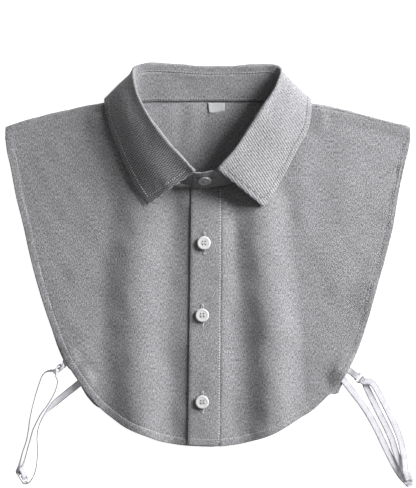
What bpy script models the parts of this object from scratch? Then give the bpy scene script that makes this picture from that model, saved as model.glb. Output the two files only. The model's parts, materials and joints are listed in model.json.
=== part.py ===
"""A detachable shirt collar, buttoned, laid flat on its back panel, with its two elastic strap loops."""

import math

import bpy
import numpy as np

# Places on the sheet are in steps of STEP, counted right and down. Heights and lengths are in millimetres.
STEP = 0.85
MIDDLE_X, MIDDLE_Y = 209.4577, 275.0605

CLOTH = 1.2  # wall of every cloth layer
BAND = 1.4  # wall of the buttonhole band, which is folded double
GAP = 0.3  # air between layers and at butted seams
ROLL = 1.5  # radius of the shoulder fold
CREASE = 1.1  # radius of the collar's fold
LEAF_BELOW = 1.6  # how far the back panel rises over the collar leaf under it
UNDER_EDGE, BAND_LEFT, BAND_RIGHT = 216.0, 191.3, 221.3
BUTTON = 11.5
BUTTON_THICK = 2.2
ELASTIC_WIDE, ELASTIC_THICK = 5.6, 1.0
RING_RADIUS, RING_WIRE = 3.95, 1.1  # to the middle of the wire

# Lower edge of both panels, from the left shoulder tip round to the right one: x, y
LOWER_EDGE = [
    (6, 138), (7, 149), (10, 162), (13, 177), (16, 194), (20, 210), (24, 226), (28, 245), (33, 266),
    (37, 281), (42, 298), (50, 322), (59, 346), (66, 361), (77, 378), (88, 394), (103, 410),
    (113, 418), (125, 426.5), (142, 434), (165, 441.5), (190, 445), (215, 446), (236, 444), (254, 440),
    (272, 434), (286, 426.5), (299, 418), (312, 410), (321, 402), (330, 393), (336.5, 386), (343, 378),
    (348, 370), (352, 362), (359, 346), (367, 322), (376, 290), (385, 258), (393, 226), (398, 195),
    (405, 162), (409, 146), (410, 138),
]
# Where the back panel shows below the fronts: x, how far
BACK_BELOW = [
    (6, 0), (50, 0), (57, 3), (66, 3.5), (72, 0), (79, 0), (85, 3), (94, 3), (102, 0), (329, 0), (334, 5),
    (337, 8.5), (340.5, 9), (343, 1), (346, 0), (410, 0),
]
# Outer edge of the shoulder fold and of the back neck: x, y
FOLD_EDGE = [
    (6, 126.5), (10, 124.8), (25.5, 120), (63.8, 110.4), (104.6, 102.6), (120, 101.6), (141, 100.6),
    (207, 100.4), (266, 100.6), (294, 102), (311, 103), (336.5, 107.3), (362, 114.2), (400, 123.8),
    (406, 125), (410, 127),
]
# How far the back panel laps over the shoulder to the front, from that edge: x, lap
SHOULDER_LAP = [
    (6, 4.6), (25.5, 8), (63.8, 7.6), (92, 8.4), (130, 8.4), (282, 5), (312, 4.6), (336, 4.2), (362, 3.2), (410, 3.2),
]
# Neckline of the fronts, from the left shoulder seam to the right one: x, y
NECKLINE = [
    (127.5, 110.5), (128.4, 118), (133, 134), (142, 152), (155, 168), (170, 179), (186, 185.5),
    (204, 188.5), (221, 187.5), (240.5, 180.5), (254.5, 170.5), (267, 157), (276.5, 143), (282.5, 130),
    (285.2, 119), (286.5, 109),
]
NECK_LEFT, NECK_RIGHT = 127.5, 286.5
# Soft ridges of the fronts. Each climbs on its left and falls away more gently on its right.
# y, x of the middle of the climb, height
RIDGE_LEFT = [
    (113, 94, 0), (128, 99, 2.4), (147, 107, 4.2), (182, 122, 5.0), (217, 124.5, 5.4), (252, 119, 6.0), (292, 116.5, 6.6),
    (332, 116.5, 7.2), (372, 118.5, 7.6), (412, 120, 7.6), (446, 121, 7.2),
]
RIDGE_MIDDLE = [(188, 181, 1.4), (220, 181, 2.8), (250, 183, 2.2), (300, 184.5, 1.8), (400, 183.5, 2.2), (446, 184, 2.0)]
RIDGE_RIGHT = [
    (165, 230, 0), (185, 238, 2.8), (207, 245.5, 6.0), (225, 246.5, 6.4), (252, 247.5, 6.4), (285, 251, 6.6), (322, 254.5, 6.8),
    (352, 256, 7.0), (382, 257.5, 7.2), (412, 258.5, 7.2), (446, 259, 6.8),
]
RIDGE_EDGE = [(235, 366, 0), (262, 364, 1.1), (290, 360, 2.0), (312, 358, 1.1), (330, 356, 0)]
# Ridge, half the width of its climb, where its fall starts and ends
RIDGES = [(RIDGE_LEFT, 17, 19, 55), (RIDGE_MIDDLE, 11, 26, 60), (RIDGE_RIGHT, 14, 17, 49), (RIDGE_EDGE, 13, 20, 60)]
SWELLS = [(338, 128, 346, 190, 24, 1.4, 40), (303, 150, 300, 215, 16, 1.0, 30), (74, 330, 84, 392, 26, 1.9, 60)]
# Where a strap end lies between the panels: x, y, lift
STRAP_ENDS = [(68, 359, 2.4), (83, 380, 2.9), (345, 368, 2.2), (340, 377, 1.8)]
# Collar, from the left end of its leaf round the back to the right end. Seam on the neckline x, y;
# fold x, y, height; length turned inside; where the leaf bends and how much; outer edge x, y, height.
# A height of 0 means just above the front.
COLLAR = [
    (186.0, 184.5, 195.0, 171.0, 29.5, 2.6, 0.50, 1.6, 147.5, 204.5, 0),
    (170.0, 178.0, 181.0, 156.0, 30.0, 4.0, 0.50, 2.0, 138.0, 190.5, 0),
    (155.0, 167.0, 166.5, 140.0, 29.5, 5.5, 0.50, 2.4, 127.8, 170.5, 0),
    (142.0, 151.0, 152.5, 121.5, 28.5, 6.0, 0.50, 2.6, 118.3, 149.0, 0),
    (133.0, 133.5, 142.0, 103.0, 26.5, 6.0, 0.50, 2.4, 110.8, 129.0, 0),
    (129.0, 118.5, 137.0, 89.5, 24.0, 6.0, 0.50, 1.6, 106.6, 114.0, 0),
    (128.8, 111.0, 135.3, 80.5, 22.0, 6.0, 0.50, 0.8, 105.6, 106.2, 7.6),
    (130.5, 106.5, 134.6, 74.0, 20.0, 6.0, 0.50, 0.2, 104.8, 99.2, 3.9),
    (133.5, 104.0, 135.2, 69.8, 18.0, 6.0, 0.45, -3.4, 107.5, 101.2, 1.0),
    (138.5, 102.3, 138.6, 67.4, 16.0, 6.0, 0.30, -6.6, 113.5, 105.5, 0.65),
    (149.0, 101.4, 150.0, 65.4, 14.0, 6.0, 0.20, -7.6, 136.0, 111.5, 0.65),
    (170.0, 101.0, 171.0, 66.0, 12.6, 6.0, 0.16, -7.0, 168.0, 114.5, 0.65),
    (207.0, 101.0, 207.0, 68.2, 12.0, 6.0, 0.16, -6.6, 207.0, 115.5, 0.65),
    (245.0, 101.0, 245.0, 67.6, 12.6, 6.0, 0.16, -7.0, 247.0, 114.5, 0.65),
    (264.5, 101.4, 265.0, 66.6, 14.0, 6.0, 0.20, -7.6, 279.0, 111.5, 0.65),
    (275.0, 102.3, 276.0, 67.6, 16.0, 6.0, 0.30, -6.6, 302.0, 105.5, 0.65),
    (280.5, 104.0, 279.2, 70.0, 18.0, 6.0, 0.45, -3.4, 308.2, 101.6, 1.0),
    (283.5, 106.5, 279.6, 74.0, 20.0, 6.0, 0.50, 0.2, 311.0, 100.1, 3.9),
    (285.2, 111.5, 277.5, 80.5, 22.0, 6.0, 0.50, 0.8, 310.9, 107.0, 7.6),
    (284.5, 120.0, 274.0, 89.5, 24.0, 6.0, 0.50, 1.6, 310.0, 117.0, 0),
    (281.0, 131.5, 267.5, 100.0, 26.0, 6.0, 0.50, 2.2, 307.0, 131.0, 0),
    (274.5, 144.0, 258.8, 114.0, 28.0, 6.0, 0.50, 2.6, 298.3, 147.0, 0),
    (264.5, 158.5, 247.5, 131.0, 29.0, 5.5, 0.50, 2.6, 289.0, 165.0, 0),
    (252.0, 170.5, 236.5, 147.5, 29.8, 5.0, 0.50, 2.2, 279.8, 182.0, 0),
    (239.5, 179.5, 226.5, 159.5, 30.0, 4.0, 0.50, 1.8, 271.0, 197.0, 0),
    (226.5, 185.0, 217.5, 169.0, 29.5, 2.6, 0.50, 1.4, 263.0, 206.5, 0),
]
# The stand's ends past the leaf, from their tip: seam x, y; top edge x, y, height
STAND_UNDER = [
    (221.0, 184.6, 219.5, 173.6, 20.5), (214.0, 185.3, 212.0, 174.0, 22.5), (200.0, 185.4, 202.0, 173.0, 25.0),
]
STAND_OVER = [
    (215.0, 187.2, 211.5, 171.2, 27.2), (203.0, 188.2, 202.0, 173.4, 26.8), (193.0, 187.6, 193.0, 174.4, 24.0),
]


# Rings and sliders: middle x, y, height, heading of their length, rise of their width
RING_LEFT, RING_RIGHT = (57.8, 369.8, 4.6, 43.7, 62), (359.3, 377.8, 2.8, 143.1, 168)
SLIDER_LEFT, SLIDER_RIGHT = (22.6, 475.9, 3.8, -57.5, 130), (407.6, 478.0, 3.45, -70.7, 0)
SLIDER_LONG, SLIDER_WIDE = 9.5, 8.2
# Elastic hooked round a fitting: how far along it, how far up from its middle
ROUND_NEAR = [
    (5.4, 1.25), (3.95, 1.42), (2.3, 1.4), (1.4, 0.85), (1.05, 0), (1.4, -0.85), (2.3, -1.4), (3.95, -1.42), (5.6, -1.2),
]
ROUND_FAR = [
    (-5.0, -1.4), (-3.95, -1.42), (-2.3, -1.4), (-1.4, -0.85), (-1.05, 0), (-1.4, 0.85), (-2.3, 1.4), (-3.95, 1.42),
    (-5.0, 1.4),
]
ROUND_FAR_WIDE = [
    (-4.4, -3.6), (-3.3, -2.4), (-2.3, -1.4), (-1.6, -0.8), (-1.3, 0), (-1.6, 0.8), (-2.3, 1.4), (-3.3, 2.4), (-4.4, 3.6),
]
SEWN_END = [(-5.3, 1.5), (-4.2, 1.6), (-3.0, 1.4), (-2.45, 0), (-3.0, -1.4), (-4.2, -1.6), (-5.6, -1.5)]
THROUGH = [
    (-6.0, 3.0), (-4.4, 3.0), (-2.2, 2.6), (-0.4, 1.85), (0.8, 1.7), (1.5, 1.05), (2.1, 0), (2.7, -1.05), (3.4, -1.65),
    (4.4, -1.7), (5.3, -1.6),
]
# Elastic on the table: x, y, height, heading and rise of its width
TAB_LEFT = [(70.5, 357.5, 2.0, 133.7, 0), (67.4, 360.5, 2.0, 133.7, 0), (65.4, 362.4, 2.7, 133.7, 18)]
TAB_RIGHT = [(343.5, 366.0, 2.0, 53, 0), (347.8, 369.4, 2.0, 53, 0), (350.4, 371.2, 2.4, 53, 4)]
LEFT_OUTER = [
    (19.3, 465.5, 3.2, 212, 72), (20.5, 460.5, 3.0, 212, 86), (22.9, 451.5, 2.95, 0, 90), (26.4, 441.0, 2.95, 0, 90),
    (28.6, 429.7, 2.95, 0, 90), (29.9, 420.2, 2.95, 0, 90), (32.8, 406.0, 2.95, 0, 90), (36.4, 392.9, 2.95, 0, 90),
    (40.4, 380.6, 2.95, 0, 90), (42.8, 375.0, 2.95, 134, 88), (46.4, 371.6, 3.0, 134, 82),
]
LEFT_INNER = [
    (57.9, 379.4, 4.8, 134, 74), (57.7, 383.2, 3.6, 134, 84), (56.6, 387.6, 2.95, 0, 90),
    (53.8, 394.7, 2.95, 0, 90), (50.1, 401.2, 2.95, 0, 90), (46.6, 406.4, 2.95, 0, 90), (41.2, 413.6, 2.95, 0, 90),
    (36.6, 422.2, 2.95, 0, 90), (33.0, 430.0, 2.95, 0, 90), (30.7, 438.2, 2.95, 0, 90), (28.3, 446.7, 2.95, 0, 90),
    (26.4, 454.0, 2.95, 0, 90), (24.8, 460.0, 3.3, 212, 84), (23.4, 464.6, 4.3, 212, 66),
]
LEFT_BAND = [
    (28.0, 483.0, 2.95, 212, 72), (31.2, 480.2, 2.95, 0, 90), (34.3, 474.5, 2.95, 0, 90), (36.4, 467.0, 2.95, 0, 90),
    (37.5, 458.0, 2.95, 0, 90), (37.7, 448.0, 2.95, 0, 90), (37.3, 438.0, 2.95, 0, 90), (38.4, 428.5, 2.95, 0, 90),
    (41.6, 420.0, 2.95, 128, 88), (46.3, 412.4, 2.9, 128, 72), (51.5, 406.4, 2.5, 128, 42), (57.3, 401.0, 1.8, 128, 12),
    (66.0, 393.9, 1.4, 128, 0), (74.0, 387.5, 1.7, 128, 0), (79.5, 383.1, 2.0, 128, 0), (86.0, 378.0, 2.0, 128, 0),
]
RIGHT_INNER = [
    (402.6, 468.5, 1.95, 22, 0), (399.0, 461.0, 1.95, 24, 0), (395.2, 450.5, 1.95, 23, 0), (391.2, 438.0, 1.95, 25, 0),
    (385.0, 424.5, 1.95, 27, 0), (378.4, 411.6, 1.95, 28, 0), (372.0, 398.5, 1.95, 30, 0), (367.2, 388.5, 1.9, 38, 4),
]
RIGHT_OUTER = [
    (369.6, 381.6, 4.2, 46, 4), (374.2, 385.6, 3.8, 38, 0), (379.2, 394.2, 3.5, 30, 0), (383.8, 402.8, 3.35, 28, 0),
    (388.2, 411.6, 3.3, 27, 0), (394.6, 425.0, 3.3, 26, 0), (399.8, 438.0, 3.3, 21, 0), (402.9, 451.0, 3.4, 15, 0),
    (404.6, 461.0, 4.2, 16, 0),
]
RIGHT_BAND = [
    (410.1, 485.6, 1.3, 20, 0), (409.2, 484.2, 0.65, 24, 0), (406.0, 481.0, 0.6, 34, 0), (402.3, 477.2, 0.6, 34, 0),
    (398.4, 471.8, 0.6, 28, 0), (393.8, 463.8, 0.6, 26, 0), (388.0, 452.5, 0.6, 26, 0), (382.0, 440.0, 0.6, 26, 0),
    (376.0, 427.5, 0.6, 27, 0), (368.9, 414.8, 0.6, 30, 0), (361.2, 403.0, 0.65, 34, 0), (352.6, 391.8, 1.0, 37, 0),
    (343.8, 380.4, 2.0, 38, 0), (338.5, 373.5, 2.0, 38, 0),
]


def spline(at, rows, eased=False):
    """Rows of a table, joined smoothly in their first column. Eased ones never overshoot."""
    rows = np.asarray(rows, float)
    xs, ys = rows[:, 0], rows[:, 1:]
    step = np.diff(xs)[:, None]
    slope = np.diff(ys, axis=0) / step
    m = np.empty_like(ys)
    m[0], m[-1] = slope[0], slope[-1]
    if eased:
        safe = np.where(slope == 0, 1e-12, slope)
        w1, w2 = 2 * step[1:] + step[:-1], step[1:] + 2 * step[:-1]
        mean = (w1 + w2) / (w1 / safe[:-1] + w2 / safe[1:])
        m[1:-1] = np.where(slope[:-1] * slope[1:] > 0, mean, 0.0)
    else:
        m[1:-1] = (ys[2:] - ys[:-2]) / (step[1:] + step[:-1])
    at = np.asarray(at, float)
    i = np.clip(np.searchsorted(xs, at, side="right") - 1, 0, len(xs) - 2)
    h = (xs[i + 1] - xs[i])[..., None]
    t = np.clip((at[..., None] - xs[i][..., None]) / h, 0, 1)
    out = (
        ys[i] * (1 + 2 * t) * (1 - t) ** 2
        + m[i] * h * t * (1 - t) ** 2
        + ys[i + 1] * t * t * (3 - 2 * t)
        + m[i + 1] * h * t * t * (t - 1)
    )
    return out[..., 0] if ys.shape[1] == 1 else out


def ease(t):
    t = np.clip(t, 0, 1)
    return t * t * (3 - 2 * t)


def unit(v):
    return v / np.maximum(np.linalg.norm(v, axis=-1, keepdims=True), 1e-9)


def lean(x, y):
    """The button band runs a little to the left on its way down, and takes the cloth beside it along."""
    per_step = np.interp(x, [150, 190, 221, 262], [0, 0.0136, 0.0066, 0])
    return x - per_step * (y - 200)


def over_leaf(x, y, spread=0.0):
    """1 where the collar leaf lies under the panels, 0 well away from it. The fronts rise from further out."""
    return ease((x - 90 + spread) / 11) * ease((326 + spread - x) / 11) * (1 - ease((y - 118 - spread) / 12))


def seam_y(x):
    return spline(x, FOLD_EDGE, True) + spline(x, SHOULDER_LAP, True)


def folds(x, y):
    """Height of the soft ridges and of the strap ends under the fronts."""
    h = 0 * x
    for rows, climb, start, end in RIDGES:
        line = spline(y, rows, True)
        past = x - line[..., 0]
        h = h + line[..., 1] * ease((past + climb) / (2 * climb)) * (1 - ease((past - start) / (end - start)))
    for x0, y0, x1, y1, half, high, end in SWELLS:
        along = np.clip((y - y0) / (y1 - y0), -1, 2)
        middle = x0 + (x1 - x0) * along
        ends = ease((y - y0 + end) / end) * ease((y1 + end - y) / end)
        h = h + high * np.exp(-(((x - middle) / half) ** 2) * 1.6) * ends
    for x0, y0, high in STRAP_ENDS:
        h = h + high * np.exp(-(((x - x0) ** 2 + (y - y0) ** 2) / 11.0**2) ** 2)
    return h


def front_z(x, y):
    """Middle of the cloth of the fronts, without the rise over the button side."""
    near = 1 - ease((y - seam_y(x)) / 14)
    return CLOTH * 1.5 + GAP + LEAF_BELOW * over_leaf(x, y, 6.0) + 1.5 * near + folds(x, y)


def over_z(x, y):
    """The buttonhole side lies on the button side as far as its edge, then comes down."""
    return front_z(x, y) + (CLOTH + BAND) / 2 * (1 - ease((x - 222) / 16)) + GAP * (1 - ease((x - 222) / 16))


def place(x, y, z):
    """A place on the sheet in metres."""
    x, y, z = np.broadcast_arrays(np.asarray(x, float), y, z)
    return np.stack([(x - MIDDLE_X) * STEP, (MIDDLE_Y - y) * STEP, z], -1) * 0.001


def new_mesh(name, points, faces, smooth=True):
    mesh = bpy.data.meshes.new(name)
    mesh.from_pydata([tuple(p) for p in points], [], [tuple(f) for f in faces])
    mesh.validate()
    for polygon in mesh.polygons:
        polygon.use_smooth = smooth
    obj = bpy.data.objects.new(name, mesh)
    parts.objects.link(obj)
    return obj


def slab(name, grid, thick, present=None):
    """A sheet of this thickness, in millimetres, about a grid of points in metres, closed all round."""
    n, m = grid.shape[:2]
    if present is None:
        present = np.ones((n - 1, m - 1), bool)
    normal = unit(np.cross(np.gradient(grid, axis=0), np.gradient(grid, axis=1)))
    if np.median(normal[..., 2]) < 0:
        grid, normal, present = grid[:, ::-1], -normal[:, ::-1], present[:, ::-1]
    top = (grid + normal * thick * 0.0005).reshape(-1, 3)
    bottom = (grid - normal * thick * 0.0005).reshape(-1, 3)
    number = np.arange(n * m).reshape(n, m)
    loops = [
        (number[i, j], number[i + 1, j], number[i + 1, j + 1], number[i, j + 1])
        for i in range(n - 1)
        for j in range(m - 1)
        if present[i, j]
    ]
    edges = {(a, b) for f in loops for a, b in zip(f, f[1:] + f[:1])}
    faces = list(loops) + [tuple(k + n * m for k in f[::-1]) for f in loops]
    faces += [(b, a, a + n * m, b + n * m) for a, b in edges if (b, a) not in edges]
    used = sorted({k for f in faces for k in f})
    index = {k: i for i, k in enumerate(used)}
    points = np.concatenate([top, bottom])[used]
    return new_mesh(name, points, [tuple(index[k] for k in f) for f in faces])


def columns(first, last, step, fine=(), middling=()):
    """Stations across a panel: close together where its outline is steep, less so where it only rises."""
    at, found = first, [first]
    while at < last:
        gap = step
        for where in fine:
            gap = min(gap, 0.9 + abs(at + 0.5 - where) * 0.26)
        for where in middling:
            gap = min(gap, 5.4 + max(abs(at + 2 - where) - 10, 0) * 0.4)
        at = at + gap
        found.append(min(at, last))
    if found[-1] - found[-2] < 0.4:
        found.pop(-2)
    return np.array(found)


def rows_down(high, low, near, count):
    """Rows of a panel from its top line to its lower edge: first at these distances, then evenly."""
    room = (low - high)[:, None]
    first = np.array(near)[None, :] * np.minimum(room / 110, 1.0)
    rest = first[:, -1:] + (room - first[:, -1:]) * np.linspace(0, 1, count + 1)[None, 1:]
    return high[:, None] + np.concatenate([first, rest], 1)


def build_back():
    xs = columns(6.0, 410.0, 18.0, (6.0, 410.0), (64, 92, NECK_LEFT, NECK_RIGHT, 322, 338))
    for edge in (NECK_LEFT, NECK_RIGHT):
        xs[np.argmin(abs(xs - edge))] = edge
    wall, roll = CLOTH / 2 / STEP, ROLL / STEP
    low = spline(xs, LOWER_EDGE, True) + spline(xs, BACK_BELOW, True)
    high = spline(xs, FOLD_EDGE, True) + wall + roll
    y = rows_down(high, low, [0, 8, 16, 22, 29], 5)[:, ::-1]
    x = np.repeat(xs[:, None], y.shape[1], 1)
    z = CLOTH / 2 + LEAF_BELOW * over_leaf(x, y)
    flat = place(x, y, z)
    turn = np.linspace(0, math.pi, 6)[1:]
    x2 = np.repeat(xs[:, None], len(turn), 1)
    y2 = high[:, None] - roll * np.sin(turn)
    z2 = z[:, -1:] + ROLL * (1 - np.cos(turn))
    y3 = seam_y(xs)[:, None]
    lap = place(xs[:, None], np.concatenate([(high[:, None] + y3) / 2, y3], 1), z2[:, -1:] + np.zeros((1, 2)))
    grid = np.concatenate([flat, place(x2, y2, z2), lap], 1)
    present = np.ones((len(xs) - 1, grid.shape[1] - 1), bool)
    middle = (xs[:-1] + xs[1:]) / 2
    present[(middle > NECK_LEFT) & (middle < NECK_RIGHT), y.shape[1] - 1 :] = False
    return slab("back_panel", grid, CLOTH, present)


def front_top(xs):
    """Upper edge of a front: just under the shoulder seam, then the neckline."""
    neck = spline(xs, NECKLINE, True)
    outside = (xs < NECK_LEFT) | (xs > NECK_RIGHT)
    return np.where(outside, seam_y(xs) + GAP / STEP + 0.15, neck)


def build_front(name, first, last, height, fine, middling):
    xs = columns(first, last, 9.5, fine, middling)
    for edge in (NECK_LEFT, NECK_RIGHT):
        if first < edge < last:
            xs[np.argmin(abs(xs - edge))] = edge
    y = rows_down(front_top(xs), spline(xs, LOWER_EDGE, True), [0, 6, 12, 18, 26], 11)
    x = np.repeat(xs[:, None], y.shape[1], 1)
    return slab(name, place(lean(x, y), y, height(x, y)), CLOTH)


def build_band():
    xs = np.array([BAND_LEFT, 196, 201.5, 207, 212.5, 217, BAND_RIGHT - 0.4])
    low = spline(xs, LOWER_EDGE, True) - 0.6
    high = front_top(xs)
    rows = np.linspace(0, 1, 20)
    x = np.repeat(xs[:, None], len(rows), 1)
    y = low[:, None] + (high - low)[:, None] * rows
    return slab("placket", place(lean(x, y), y, over_z(x, y)), BAND)


def collar_sections(count):
    """The collar table joined smoothly: seam, fold and outer edge in metres, and the leaf's other columns."""
    rows = np.array(COLLAR)
    sx, sy, fx, fy, fz, lip, mid, rise, ex, ey, ez = rows.T
    ez = np.where(ez > 0, ez, np.where(ex < 200, front_z(ex, ey), over_z(ex, ey)) + CLOTH + GAP + 0.9)
    top = np.where(sy > 108, over_z(sx, sy), CLOTH / 2 + LEAF_BELOW + 2.6 * ease((sy - 101.2) / 7))
    seam, fold, edge = place(sx, sy, top + CLOTH + GAP), place(fx, fy, fz), place(ex, ey, ez)
    steps = np.linalg.norm(np.diff(fold, axis=0), axis=1) + 1.5 * np.linalg.norm(np.diff(edge, axis=0), axis=1)
    run = np.concatenate([[0], np.cumsum(steps)])
    table = np.column_stack([run, seam, fold, edge, lip, mid, rise])
    at = np.linspace(0, run[-1], count)
    out = spline(at, table)
    return out[:, 0:3], out[:, 3:6], out[:, 6:9], out[:, 9], out[:, 10], out[:, 11]


def outward(fold, down):
    """Away from the neck, square to the stand."""
    side = unit(np.cross(np.gradient(fold, axis=0), down))
    away = fold - fold.mean(0)
    return side if (side * away).sum() > 0 else -side


def leaf_grid(count, inner, outer):
    seam, fold, edge, lip, mid, rise = collar_sections(count)
    down = unit(seam - fold)
    out = outward(fold, down)
    mm = 0.001
    parts_of = [fold + down * (lip * mm * k / inner)[:, None] for k in range(inner, -1, -1)]
    for a in np.linspace(0, math.pi, 5)[1:]:
        parts_of.append(fold + CREASE * mm * (out * (1 - math.cos(a)) - down * math.sin(a)))
    turn = parts_of[-1]
    bend = turn + (edge - turn) * mid[:, None] + np.array([0, 0, mm]) * rise[:, None]
    one, two = np.linalg.norm(bend - turn, axis=1).mean(), np.linalg.norm(edge - bend, axis=1).mean()
    for t in np.linspace(0, 1, outer + 1)[1:]:
        a = np.stack([turn, bend, edge], 1)
        m0 = (bend - turn) * 0.6 + down * one * 0.6
        m1 = (edge - turn) * (mid * (1 - mid) * 2)[:, None]
        m2 = (edge - bend) * 1.0
        split = float(np.clip(one / (one + two), 0.2, 0.8))
        if t <= split:
            s, p, q, mp, mq = t / split, a[:, 0], a[:, 1], m0, m1
        else:
            s, p, q, mp, mq = (t - split) / (1 - split), a[:, 1], a[:, 2], m1, m2
        parts_of.append(
            p * (1 + 2 * s) * (1 - s) ** 2 + mp * s * (1 - s) ** 2 + q * s * s * (3 - 2 * s) + mq * s * s * (s - 1)
        )
    return np.stack(parts_of, 1)


def build_leaf():
    return slab("collar_leaf", leaf_grid(48, 2, 8), CLOTH)


def stand_rows(count):
    """Seam and top edge of the stand, from the tip of its inner end to the tip of its outer end."""
    seam, fold, edge, lip, mid, rise = collar_sections(count)
    top = fold + unit(seam - fold) * (lip[:, None] + GAP) * 0.001
    ends = []
    for rows, lift in ((STAND_UNDER, 0.0), (STAND_OVER, BAND + GAP)):
        sx, sy, tx, ty, tz = np.array(rows).T
        bottom = place(sx, sy, front_z(sx, sy) + CLOTH + GAP + lift)
        ends.append((bottom, place(tx, ty, tz)))
    bottom = np.concatenate([ends[0][0], seam, ends[1][0]])
    top = np.concatenate([ends[0][1], top, ends[1][1]])
    return bottom, top


def build_stand():
    bottom, top = stand_rows(34)
    run = np.concatenate([[0], np.cumsum(np.linalg.norm(np.diff(bottom + top, axis=0), axis=1))])
    at = np.linspace(0, run[-1], 70)
    rows = spline(at, np.column_stack([run, bottom, top]))
    t = np.linspace(0, 1, 4)[None, :, None]
    grid = rows[:, None, 0:3] * (1 - t) + rows[:, None, 3:6] * t
    return slab("collar_stand", grid, CLOTH)


def build_label():
    xs, ys = np.linspace(208, 224.5, 4), np.linspace(103.2, 112.8, 4)
    x, y = np.meshgrid(xs, ys, indexing="ij")
    z = CLOTH + LEAF_BELOW * over_leaf(x, y) + GAP + 0.3
    return slab("size_label", place(x, y, z), 0.6)


def lathe(name, profile, steps):
    """A turned solid: a closed profile of radius and height, in millimetres, about Z."""
    angles = np.linspace(0, 2 * math.pi, steps, endpoint=False)
    points, faces = [], []
    n = len(profile)
    for r, z in profile:
        points += [(r * math.cos(a) * 0.001, r * math.sin(a) * 0.001, z * 0.001) for a in angles]
    for i in range(n - 1):
        for k in range(steps):
            a, b = i * steps + k, i * steps + (k + 1) % steps
            faces.append((a, b, b + steps, a + steps))
    faces.append(tuple(range(steps))[::-1])
    faces.append(tuple(range((n - 1) * steps, n * steps)))
    return new_mesh(name, points, faces)


def build_button(name, at, across, up):
    """A four-hole button with a rim, standing at a point, its sewing holes along across."""
    half, thick = BUTTON / 2, BUTTON_THICK
    profile = [
        (half - 0.7, 0.0), (half - 0.15, 0.35), (half, 0.9), (half, thick - 0.6), (half - 0.35, thick - 0.1),
        (half - 0.9, thick), (half - 1.4, thick - 0.15), (half - 2.0, thick - 0.75),
    ]
    button = lathe(name, profile, 20)
    for i, (dx, dy) in enumerate(((1, 1), (1, -1), (-1, 1), (-1, -1))):
        cutter = lathe(f"{name}_hole_{i}", [(0.65, -1.0), (0.65, thick + 1.0)], 8)
        cutter.data.transform(shift(dx * 1.25, dy * 1.25, 0))
        cutter.hide_render, cutter.display_type = True, "WIRE"
        parts.objects.unlink(cutter)
        cutters.objects.link(cutter)
        cut = button.modifiers.new(f"hole {i}", "BOOLEAN")
        cut.operation, cut.solver, cut.object = "DIFFERENCE", "EXACT", cutter
    side = np.cross(up, across)
    frame = np.eye(4)
    frame[:3, 0], frame[:3, 1], frame[:3, 2], frame[:3, 3] = across, side, up, at
    pose = matrix(frame)
    button.data.transform(pose)
    for modifier in button.modifiers:
        modifier.object.data.transform(pose)
    return button


def matrix(rows):
    from mathutils import Matrix

    return Matrix([list(map(float, row)) for row in rows])


def shift(x, y, z):
    frame = np.eye(4)
    frame[:3, 3] = np.array([x, y, z]) * 0.001
    return matrix(frame)


def frame_at(x, y, z, heading, rise):
    """A middle point, the way along, the way the elastic's width points, and the upper side, as columns."""
    heading, rise = math.radians(heading), math.radians(rise)
    along = np.array([math.cos(heading), math.sin(heading), 0.0])
    level = np.array([-math.sin(heading), math.cos(heading), 0.0])
    wide = level * math.cos(rise) + np.array([0, 0, 1.0]) * math.sin(rise)
    up = np.cross(along, wide)
    return place(x, y, z), along, wide, up if up[2] > 0 else -up


def hook(frame, rows):
    """Elastic round a bar: rows of how far along and how far up from the middle of the fitting."""
    middle, along, wide, up = frame
    return [(middle + (along * a + up * b) * 0.001, wide) for a, b in rows]


def run_of(rows):
    """Elastic on the table: x, y, height, then where its width points: heading and rise in degrees."""
    found = []
    for x, y, z, heading, rise in rows:
        heading, rise = math.radians(heading), math.radians(rise)
        flat = math.cos(rise)
        found.append((place(x, y, z), np.array([math.cos(heading) * flat, math.sin(heading) * flat, math.sin(rise)])))
    return found


def ribbon(name, course, step):
    """Flat elastic along a course, with stations no further apart than step, in millimetres."""
    line, wide = np.array([c[0] for c in course]), np.array([c[1] for c in course])
    run = np.concatenate([[0], np.cumsum(np.linalg.norm(np.diff(line, axis=0), axis=1))])
    at = [run[0]]
    for a, b in zip(run[:-1], run[1:]):
        count = max(1, round((b - a) / (step * 0.001)))
        at += list(np.linspace(a, b, count + 1)[1:])
    out = spline(np.array(at), np.column_stack([run, line, wide]))
    line, wide = out[:, :3], out[:, 3:]
    along = unit(np.gradient(line, axis=0))
    wide = unit(wide - along * (wide * along).sum(-1, keepdims=True))
    normal = unit(np.cross(along, wide)) * ELASTIC_THICK * 0.0005
    wide = wide * ELASTIC_WIDE * 0.0005
    corners = np.stack([line - wide - normal, line + wide - normal, line + wide + normal, line - wide + normal], 1)
    n = len(line)
    faces = [(3, 2, 1, 0), tuple(4 * (n - 1) + k for k in range(4))]
    for i in range(n - 1):
        for k in range(4):
            a, b = 4 * i + k, 4 * i + (k + 1) % 4
            faces.append((a, b, b + 4, a + 4))
    obj = new_mesh(name, corners.reshape(-1, 3), faces, smooth=False)
    face_out(obj)
    return obj


def face_out(obj):
    """Turns every face outward."""
    import bmesh

    work = bmesh.new()
    work.from_mesh(obj.data)
    bmesh.ops.recalc_face_normals(work, faces=work.faces)
    work.to_mesh(obj.data)
    work.free()


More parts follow.
